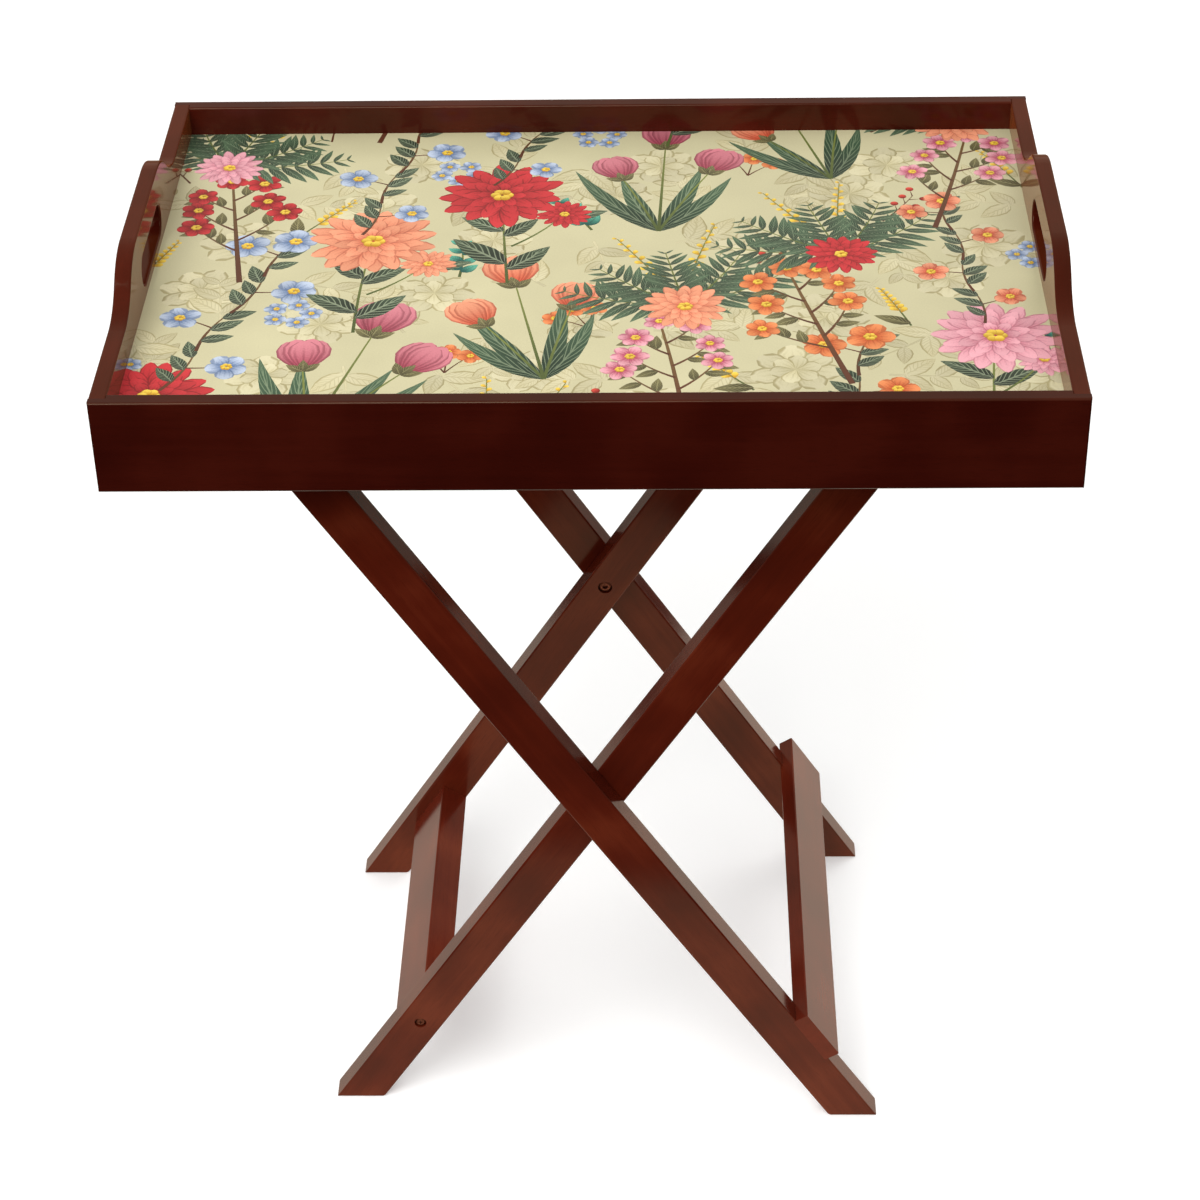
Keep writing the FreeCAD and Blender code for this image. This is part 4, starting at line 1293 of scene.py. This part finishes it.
@dataclass(frozen=True)
class Fastener:
    """One kind of screw or tack, taken from its CAD node.

    Attributes:
        node: CAD node of the fasteners.
        body: Body that carries them.
        axis: Line along which they are driven.
        recess: Shape of the bit's recess.
        slot: Material slot of the record.
        dome: Height of the head's crown as a share of the head's thickness.
    """

    node: str
    body: str
    axis: tuple[float, float, float]
    recess: Recess
    slot: str
    dome: float

    def places(self) -> list[tuple[Vector, Vector, list[Vector]]]:
        """Find each fastener of the node.

        Returns:
            For each the middle of its head's top, the way that the head faces, and the solid's own points.
        """
        shape = bmesh.new()
        shape.from_mesh(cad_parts[self.node].data)
        bmesh.ops.remove_doubles(shape, verts=shape.verts, dist=1e-6)
        found = []
        axis = Vector(self.axis).normalized()
        side = axis.orthogonal().normalized()
        other = axis.cross(side)
        waiting = set(shape.verts)
        for start in shape.verts:
            if start not in waiting:
                continue
            waiting.remove(start)
            group = [start]
            for vert in group:
                joined = [edge.other_vert(vert) for edge in vert.link_edges]
                near = [other for other in joined if other in waiting]
                waiting.difference_update(near)
                group.extend(near)
            spots = [vert.co.copy() for vert in group]
            middle = self.middle(spots, side) * side + self.middle(spots, other) * other
            runs = [spot.dot(axis) for spot in spots]
            wide = max(spots, key=lambda spot: (spot - spot.dot(axis) * axis - middle).length)
            facing = axis if wide.dot(axis) > (min(runs) + max(runs)) / 2 else -axis
            end = max(runs) if facing == axis else min(runs)
            found.append((middle + end * axis, facing, spots))
        shape.free()
        return found

    @staticmethod
    def middle(spots: list[Vector], way: Vector) -> float:
        """Middle of a group of points along a direction."""
        runs = [spot.dot(way) for spot in spots]
        return (min(runs) + max(runs)) / 2

    def template(self, spots: list[Vector], top: Vector, facing: Vector) -> bpy.types.Object:
        """Turn one fastener with its head up and its top at the origin, at the size of the CAD solid.

        Args:
            spots: Points of the CAD solid.
            top: Middle of its head's top.
            facing: Way that the head faces.

        Returns:
            Object that holds the fastener's mesh.
        """
        depths = [(top - spot).dot(facing) for spot in spots]
        radii = [(spot - top + depth * facing).length for spot, depth in zip(spots, depths)]
        length = max(depths)
        head = max(radii)
        shank = max(radius for radius, depth in zip(radii, depths) if depth > 0.8 * length)
        thick = max(depth for radius, depth in zip(radii, depths) if radius > 0.9 * head)
        flat = 0.62 * head if self.recess is not Recess.NONE else 0.25 * head
        crown = self.dome * thick
        # Flat top, crown in three steps, edge of the head, shank and point
        profile = [(flat, 0.0), (0.82 * head, -0.28 * crown), (0.95 * head, -0.65 * crown), (head, -crown),
                   (head, -thick), (shank, -thick), (shank, -0.82 * length), (0.3 * shank, -length)]
        shape = bmesh.new()
        segments = 24
        rings = [[shape.verts.new((radius * math.cos(number * math.tau / segments),
                                   radius * math.sin(number * math.tau / segments), height))
                  for number in range(segments)] for radius, height in profile]
        for upper, lower in zip(rings, rings[1:]):
            for number in range(segments):
                following = (number + 1) % segments
                face = shape.faces.new((upper[number], lower[number], lower[following], upper[following]))
                face.smooth = True
        shape.faces.new(reversed(rings[-1]))
        if self.recess is Recess.NONE:
            shape.faces.new(rings[0])
        else:
            self.sink_recess(shape, rings[0], head, 0.6 * thick)
        bmesh.ops.recalc_face_normals(shape, faces=shape.faces)
        mesh = bpy.data.meshes.new(self.node + "_one")
        shape.to_mesh(mesh)
        shape.free()
        return bpy.data.objects.new(self.node + "_one", mesh)

    def sink_recess(
        self, shape: bmesh.types.BMesh, rim: list[bmesh.types.BMVert], head: float, deep: float,
    ) -> None:
        """Sink the bit's recess into the head's top.

        Args:
            shape: The fastener.
            rim: Corners round the flat top.
            head: Radius of the head.
            deep: Depth of the recess.
        """
        loop = self.recess.loop(head)
        mouth = [shape.verts.new((x, y, 0.0)) for x, y in loop]
        floor = [shape.verts.new((0.8 * x, 0.8 * y, -deep)) for x, y in loop]
        count = len(loop)
        edges = [shape.edges.new((mouth[number], mouth[(number + 1) % count])) for number in range(count)]
        edges += [shape.edges.get((rim[number], rim[(number + 1) % len(rim)])) for number in range(len(rim))]
        bmesh.ops.triangle_fill(shape, use_beauty=True, edges=edges)
        for number in range(count):
            following = (number + 1) % count
            shape.faces.new((mouth[following], mouth[number], floor[number], floor[following]))
        shape.faces.new(floor)


@dataclass
class FastenerSet:
    """All screws and tacks that show, set by Geometry Nodes.

    Attributes:
        kinds: Kinds of fastener.
        finishes: Finish of each material slot.
    """

    kinds: list[Fastener]
    finishes: dict[str, bpy.types.Material]

    @staticmethod
    def setter() -> bpy.types.NodeTree:
        """Build the tree that sets one fastener at every point, facing along the point's own direction.

        Returns:
            The node tree, with the fastener, its size and its finish as named inputs.
        """
        tree = bpy.data.node_groups.new("set_fasteners", "GeometryNodeTree")
        inputs = {"Places": "Geometry", "Fastener": "Object", "Size": "Float", "Finish": "Material"}
        for name, kind in inputs.items():
            tree.interface.new_socket(name, in_out="INPUT", socket_type="NodeSocket" + kind)
        tree.interface.new_socket("Set fasteners", in_out="OUTPUT", socket_type="NodeSocketGeometry")
        given = add_node(tree, "NodeGroupInput")
        one = add_node(tree, "GeometryNodeObjectInfo", {"Object": given.outputs["Fastener"]})
        facing = add_node(tree, "GeometryNodeInputNamedAttribute", {"Name": "facing"},
                          data_type="FLOAT_VECTOR")
        turned = add_node(tree, "FunctionNodeAlignRotationToVector", {
            "Vector": facing.outputs["Attribute"],
        }, axis="Z")
        placed = add_node(tree, "GeometryNodeInstanceOnPoints", {
            "Points": given.outputs["Places"], "Instance": one.outputs["Geometry"],
            "Rotation": turned.outputs["Rotation"], "Scale": given.outputs["Size"],
        })
        real = add_node(tree, "GeometryNodeRealizeInstances", {"Geometry": placed})
        coated = add_node(tree, "GeometryNodeSetMaterial", {
            "Geometry": real, "Material": given.outputs["Finish"],
        })
        add_node(tree, "NodeGroupOutput", {0: coated})
        return tree

    def dress(self) -> list[bpy.types.Object]:
        """Set every kind of fastener in place of its CAD node.

        Returns:
            One piece for each kind.
        """
        tree = self.setter()
        sockets = {item.name: item.identifier for item in tree.interface.items_tree if item.in_out == "INPUT"}
        pieces = []
        for kind in self.kinds:
            places = kind.places()
            points = bpy.data.meshes.new(kind.node + "_places")
            points.from_pydata([top for top, _, _ in places], [], [])
            ways = [number for _, facing, _ in places for number in facing]
            points.attributes.new("facing", "FLOAT_VECTOR", "POINT").data.foreach_set("vector", ways)
            top, facing, spots = places[0]
            holder = bpy.data.objects.new(kind.node + "_holder", points)
            bpy.context.scene.collection.objects.link(holder)
            one = kind.template(spots, top, facing)
            setting = holder.modifiers.new("set_fasteners", "NODES")
            setting.node_group = tree
            setting[sockets["Fastener"]] = one
            setting[sockets["Size"]] = 1.0
            setting[sockets["Finish"]] = self.finishes[kind.slot]
            graph = bpy.context.evaluated_depsgraph_get()
            mesh = bpy.data.meshes.new_from_object(holder.evaluated_get(graph))
            bpy.data.objects.remove(holder)
            bpy.data.objects.remove(one)
            piece = new_piece(kind.node + "_set", mesh, self.finishes[kind.slot])
            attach(piece, kind.body)
            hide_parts(kind.node)
            pieces.append(piece)
        return pieces


@dataclass
class TrayWood:
    """The tray's walls, handle ends, base board and hidden pins.

    Attributes:
        steel: Finish of the pins.
    """

    steel: bpy.types.Material

    def dress(self) -> None:
        """Finish the tray's solids."""
        ends = LacqueredMahogany(Grain.ALONG_DEPTH, gloss=0.14, roughness=0.07, bloom=0.15).material()
        # The front wall takes the darker copy of the tray's stain, as painted shade.
        dress_node("tray_front_wall", LacqueredMahogany(Grain.ALONG_FRONT, Stain.SHADED_FRONT_WALL).material())
        dress_node("tray_back_wall", LacqueredMahogany(Grain.ALONG_LENGTH).material())
        dress_node("tray_left_end", ends)
        dress_node("tray_right_end", ends)
        dress_node("tray_base_board", StainedPlywood().material())
        dress_node("tray_corner_pins", self.steel)


@dataclass
class StandWood:
    """The folding stand's legs, stretchers, top rails and pivot metal.

    Attributes:
        steel: Finish of the washers.
        brass: Finish of the threaded inserts.
    """

    steel: bpy.types.Material
    brass: bpy.types.Material

    def dress(self) -> None:
        """Finish the stand's solids."""
        # The stretchers and top rails take the lighter copy of the legs' stain, as painted light.
        bars = LacqueredMahogany(Grain.ACROSS_STAND, Stain.LIT_BARS).material()
        for side, grain in (("outer", Grain.DOWN_TO_RIGHT), ("inner", Grain.DOWN_TO_LEFT)):
            leg = LacqueredMahogany(grain, Stain.LEGS).material()
            dress_node(side + "_front_leg", leg)
            dress_node(side + "_back_leg", leg)
            dress_node(side + "_stretcher", bars)
            dress_node(side + "_top_rail", bars)
        dress_node("pivot_washers", self.steel)
        dress_node("pivot_inserts", self.brass)


@dataclass(frozen=True)
class Studio:
    """Pale floor, soft light and a camera at the photograph's angle; sizes in metres and radians.

    Attributes:
        eye: Camera's place.
        pitch: Camera's tilt below the horizon.
        yaw: Camera's turn to the left.
        roll: Camera's turn about its own line of sight.
        lens: Focal length as a share of the image's width.
        floor_half: Half of the floor's side.
        layer: Height from one flat sheet of the stage to the next.
        sweep: Lowest and highest X, and lowest and highest Y, of the paper sweep under the table.
        paper: Colour of the floor.
        tooth: Width of the grains of the floor's paper.
        backdrop: Light of the empty room that the camera sees.
        sky: Strength of the light from all round.
        softbox_size: Width and height of a softbox.
        aim: Place that the softboxes face.
        key: Power of the main softbox, in watts.
        key_place: Place of the main softbox, above and to the left of the camera.
        fill: Power of the weak softbox behind the table, in watts.
        fill_place: Place of the weak softbox.
        front: Power of the low softbox in front, in watts.
        front_place: Place of the low softbox.
        lit_floor: Light that comes through the floor's paper from below.
        glow: Warm tint of the room that the lacquer mirrors.
        card: Light of the card under the table that the lacquer mirrors, at its left and at its right.
        far_card: Lowest and highest X, and lowest and highest Y, of the dim card behind it.
        far_light: Light of the dim card.
    """

    eye: tuple[float, float, float] = (0.049071, -1.728004, 1.608986)
    pitch: float = 0.62457
    yaw: float = 0.0288
    roll: float = -0.02016
    lens: float = 2958.85 / 1200.0
    floor_half: float = 12.0
    layer: float = 0.0001
    sweep: tuple[float, float, float, float] = (-0.75, 0.75, -0.42, 0.85)
    paper: str = "#F6F6F5"
    tooth: float = 1 / 900.0
    backdrop: float = 1.35
    sky: float = 0.85
    softbox_size: tuple[float, float] = (1.8, 1.4)
    aim: tuple[float, float, float] = (0.0, 0.0, 0.4)
    key: float = 46.0
    key_place: tuple[float, float, float] = (-0.7, -1.5, 2.3)
    fill: float = 20.0
    fill_place: tuple[float, float, float] = (1.6, 1.9, 1.2)
    front: float = 6.0
    front_place: tuple[float, float, float] = (-1.0, -2.0, 0.5)
    lit_floor: float = 0.24
    glow: str = "#FFF0DC"
    card: tuple[float, float] = (0.68, 1.3)
    far_card: tuple[float, float, float, float] = (-2.5, 2.5, 1.15, 4.0)
    far_light: float = 0.3

    def dress(self) -> None:
        """Set up the floor, the light and the camera."""
        paper = self.paper_finish()
        half = self.floor_half
        floor = self.flat_sheet("studio_floor", (-half, half, -half, half), -3 * self.layer, paper)
        floor.visible_glossy = False
        floor.visible_diffuse = False
        sweep = self.flat_sheet("studio_sweep", self.sweep, -2 * self.layer, paper)
        sweep.visible_glossy = False
        for name, edges, lights in (("warm_card", self.sweep, self.card),
                                    ("far_card", self.far_card, (self.far_light, self.far_light))):
            card = self.flat_sheet(name, edges, -self.layer, self.card_finish(name, *lights))
            card.visible_camera = False
            card.visible_diffuse = False
            card.visible_shadow = False
        self.light()
        self.camera()
        bpy.context.scene.view_settings.view_transform = "Standard"

    def card_finish(self, name: str, left: float, right: float) -> bpy.types.Material:
        """Build a lit card that only the lacquer mirrors.

        Args:
            name: Name of the card.
            left: Light at its left.
            right: Light at its right.

        Returns:
            The material.
        """
        finish, tree, shader = new_finish(name)
        place = add_node(tree, "ShaderNodeTexCoord").outputs["Object"]
        aside = add_node(tree, "ShaderNodeSeparateXYZ", {0: place}).outputs["X"]
        rise = add_node(tree, "ShaderNodeMapRange", {
            "Value": aside, "From Min": -0.5, "From Max": 0.5, "To Min": left, "To Max": right,
        })
        set_sockets(tree, shader, {
            "Base Color": (0.0, 0.0, 0.0, 1.0),
            "Emission Color": linear(self.glow), "Emission Strength": rise,
        })
        return finish

    def paper_finish(self) -> bpy.types.Material:
        """Build the matt paper of the floor.

        Returns:
            The material.
        """
        finish, tree, shader = new_finish("studio_paper")
        place = add_node(tree, "ShaderNodeTexCoord").outputs["Object"]
        tooth = add_node(tree, "ShaderNodeTexNoise", {
            "Vector": place, "Scale": 1 / self.tooth, "Detail": 2.0,
        })
        bump = add_node(tree, "ShaderNodeBump", {"Height": tooth, "Strength": 0.03, "Distance": 0.1 * MM})
        set_sockets(tree, shader, {
            "Normal": bump, "Base Color": linear(self.paper), "Roughness": 0.9, "Specular IOR Level": 0.1,
            "Emission Color": linear(self.paper), "Emission Strength": self.lit_floor,
        })
        return finish

    @staticmethod
    def flat_sheet(
        name: str, edges: tuple[float, float, float, float], height: float, finish: bpy.types.Material,
    ) -> bpy.types.Object:
        """Lay a flat sheet of the stage.

        Args:
            name: Name of the sheet.
            edges: Lowest and highest X, and lowest and highest Y.
            height: Its Z.
            finish: Its material.

        Returns:
            The sheet.
        """
        left, right, front, back = edges
        corners = ((left, front), (right, front), (right, back), (left, back))
        mesh = bpy.data.meshes.new(name)
        mesh.from_pydata([(x, y, height) for x, y in corners], [], [(0, 1, 2, 3)])
        sheet = new_piece(name, mesh, finish)
        return sheet

    def light(self) -> None:
        """Light the room: a bright ceiling that darkens to the horizon, and three softboxes."""
        world = bpy.data.worlds.new("studio")
        bpy.context.scene.world = world
        world.use_nodes = True
        tree = world.node_tree
        tree.nodes.clear()
        way = add_node(tree, "ShaderNodeTexCoord").outputs["Generated"]
        height = add_node(tree, "ShaderNodeSeparateXYZ", {0: way}).outputs["Z"]
        ramp = add_node(tree, "ShaderNodeMapRange", {"Value": height, "From Min": -1.0, "From Max": 1.0})
        room = add_node(tree, "ShaderNodeValToRGB", {"Fac": ramp},
                        stops=[(0.44, "#161616"), (1.0, "#FFFFFF"), (0.56, "#BCBCBC")])
        path = add_node(tree, "ShaderNodeLightPath")
        warm = add_node(tree, "ShaderNodeMix", {
            0: path.outputs["Is Glossy Ray"], 6: room, 7: linear(self.glow),
        }, data_type="RGBA", blend_type="MULTIPLY")
        mixed = add_node(tree, "ShaderNodeMix", {
            0: path.outputs["Is Camera Ray"], 6: warm.outputs[2], 7: (*[self.backdrop] * 3, 1.0),
        }, data_type="RGBA", clamp_result=False)
        glow = add_node(tree, "ShaderNodeBackground", {"Color": mixed.outputs[2], "Strength": self.sky})
        add_node(tree, "ShaderNodeOutputWorld", {"Surface": glow})
        self.softbox("key_softbox", self.key_place, self.key, True)
        self.softbox("fill_softbox", self.fill_place, self.fill, False)
        self.softbox("front_softbox", self.front_place, self.front, False)

    def softbox(self, name: str, place: tuple[float, float, float], power: float, mirrored: bool) -> None:
        """Hang a softbox that faces the table.

        Args:
            name: Name of the light.
            place: Its place.
            power: Its power in watts.
            mirrored: Whether glossy surfaces mirror it.
        """
        box = bpy.data.lights.new(name, "AREA")
        box.shape = "RECTANGLE"
        box.size, box.size_y = self.softbox_size
        box.energy = power
        lamp = bpy.data.objects.new(name, box)
        lamp.location = place
        lamp.rotation_euler = (Vector(self.aim) - lamp.location).to_track_quat("-Z", "Y").to_euler()
        lamp.visible_glossy = mirrored
        bpy.context.scene.collection.objects.link(lamp)

    def camera(self) -> None:
        """Set the camera where the photograph was taken."""
        right = Vector((math.cos(self.yaw), math.sin(self.yaw), 0.0))
        ahead = Vector((-math.sin(self.yaw) * math.cos(self.pitch), math.cos(self.yaw) * math.cos(self.pitch),
                        -math.sin(self.pitch)))
        up = right.cross(ahead)
        rolled_right = right * math.cos(self.roll) + up * math.sin(self.roll)
        rolled_up = up * math.cos(self.roll) - right * math.sin(self.roll)
        turn = Matrix((rolled_right, rolled_up, -ahead)).transposed()
        view = bpy.data.cameras.new("photo_view")
        view.sensor_width = 36.0
        view.lens = self.lens * view.sensor_width
        eye = bpy.data.objects.new("photo_view", view)
        eye.matrix_world = Matrix.Translation(self.eye) @ turn.to_4x4()
        bpy.context.scene.collection.objects.link(eye)
        bpy.context.scene.camera = eye


def screws_and_tacks() -> list[Fastener]:
    """List the kinds of fastener that show.

    Returns:
        The kinds, with the line along which each is driven.
    """
    across_outer = (math.sin(LEG_SLOPE), 0.0, math.cos(LEG_SLOPE))
    across_inner = (-math.sin(LEG_SLOPE), 0.0, math.cos(LEG_SLOPE))
    through = (0.0, 1.0, 0.0)
    return [
        Fastener("outer_stretcher_screws", "outer_frame", across_outer, Recess.CROSS, "steel", 0.7),
        Fastener("outer_rail_screws", "outer_frame", across_outer, Recess.CROSS, "steel", 0.7),
        Fastener("inner_stretcher_screws", "inner_frame", through, Recess.CROSS, "steel", 0.7),
        Fastener("inner_rail_screws", "inner_frame", through, Recess.CROSS, "steel", 0.7),
        Fastener("pivot_screws", "outer_frame", through, Recess.HEXAGON, "steel", 0.3),
        Fastener("outer_strap_tacks", "outer_frame", across_outer, Recess.NONE, "brass", 1.0),
        Fastener("inner_strap_tacks", "inner_frame", across_inner, Recess.NONE, "brass", 1.0),
    ]


def main() -> None:
    """Build and dress the whole table, and report each piece."""
    logging.basicConfig(level=logging.INFO, format="%(name)s: %(message)s")
    zinc = DullMetal("zinc_plated_steel", "#4A4744", "#8F8B86").material()
    browned = DullMetal("browned_steel", "#5A3226", "#7C4C3A").material()
    brass = DullMetal("cast_brass", "#6E4E1E", "#C09A4C").material()
    Studio().dress()
    TrayWood(zinc).dress()
    StandWood(zinc, brass).dress()
    pieces = [PrintedPanel().dress()]
    pieces += WebbingStraps().dress()
    pieces += FastenerSet(screws_and_tacks(), {"steel": browned, "brass": brass}).dress()
    for piece in pieces:
        log.info("%s: %d faces", piece.name, len(piece.data.polygons))


if __name__ == "__main__":
    main()
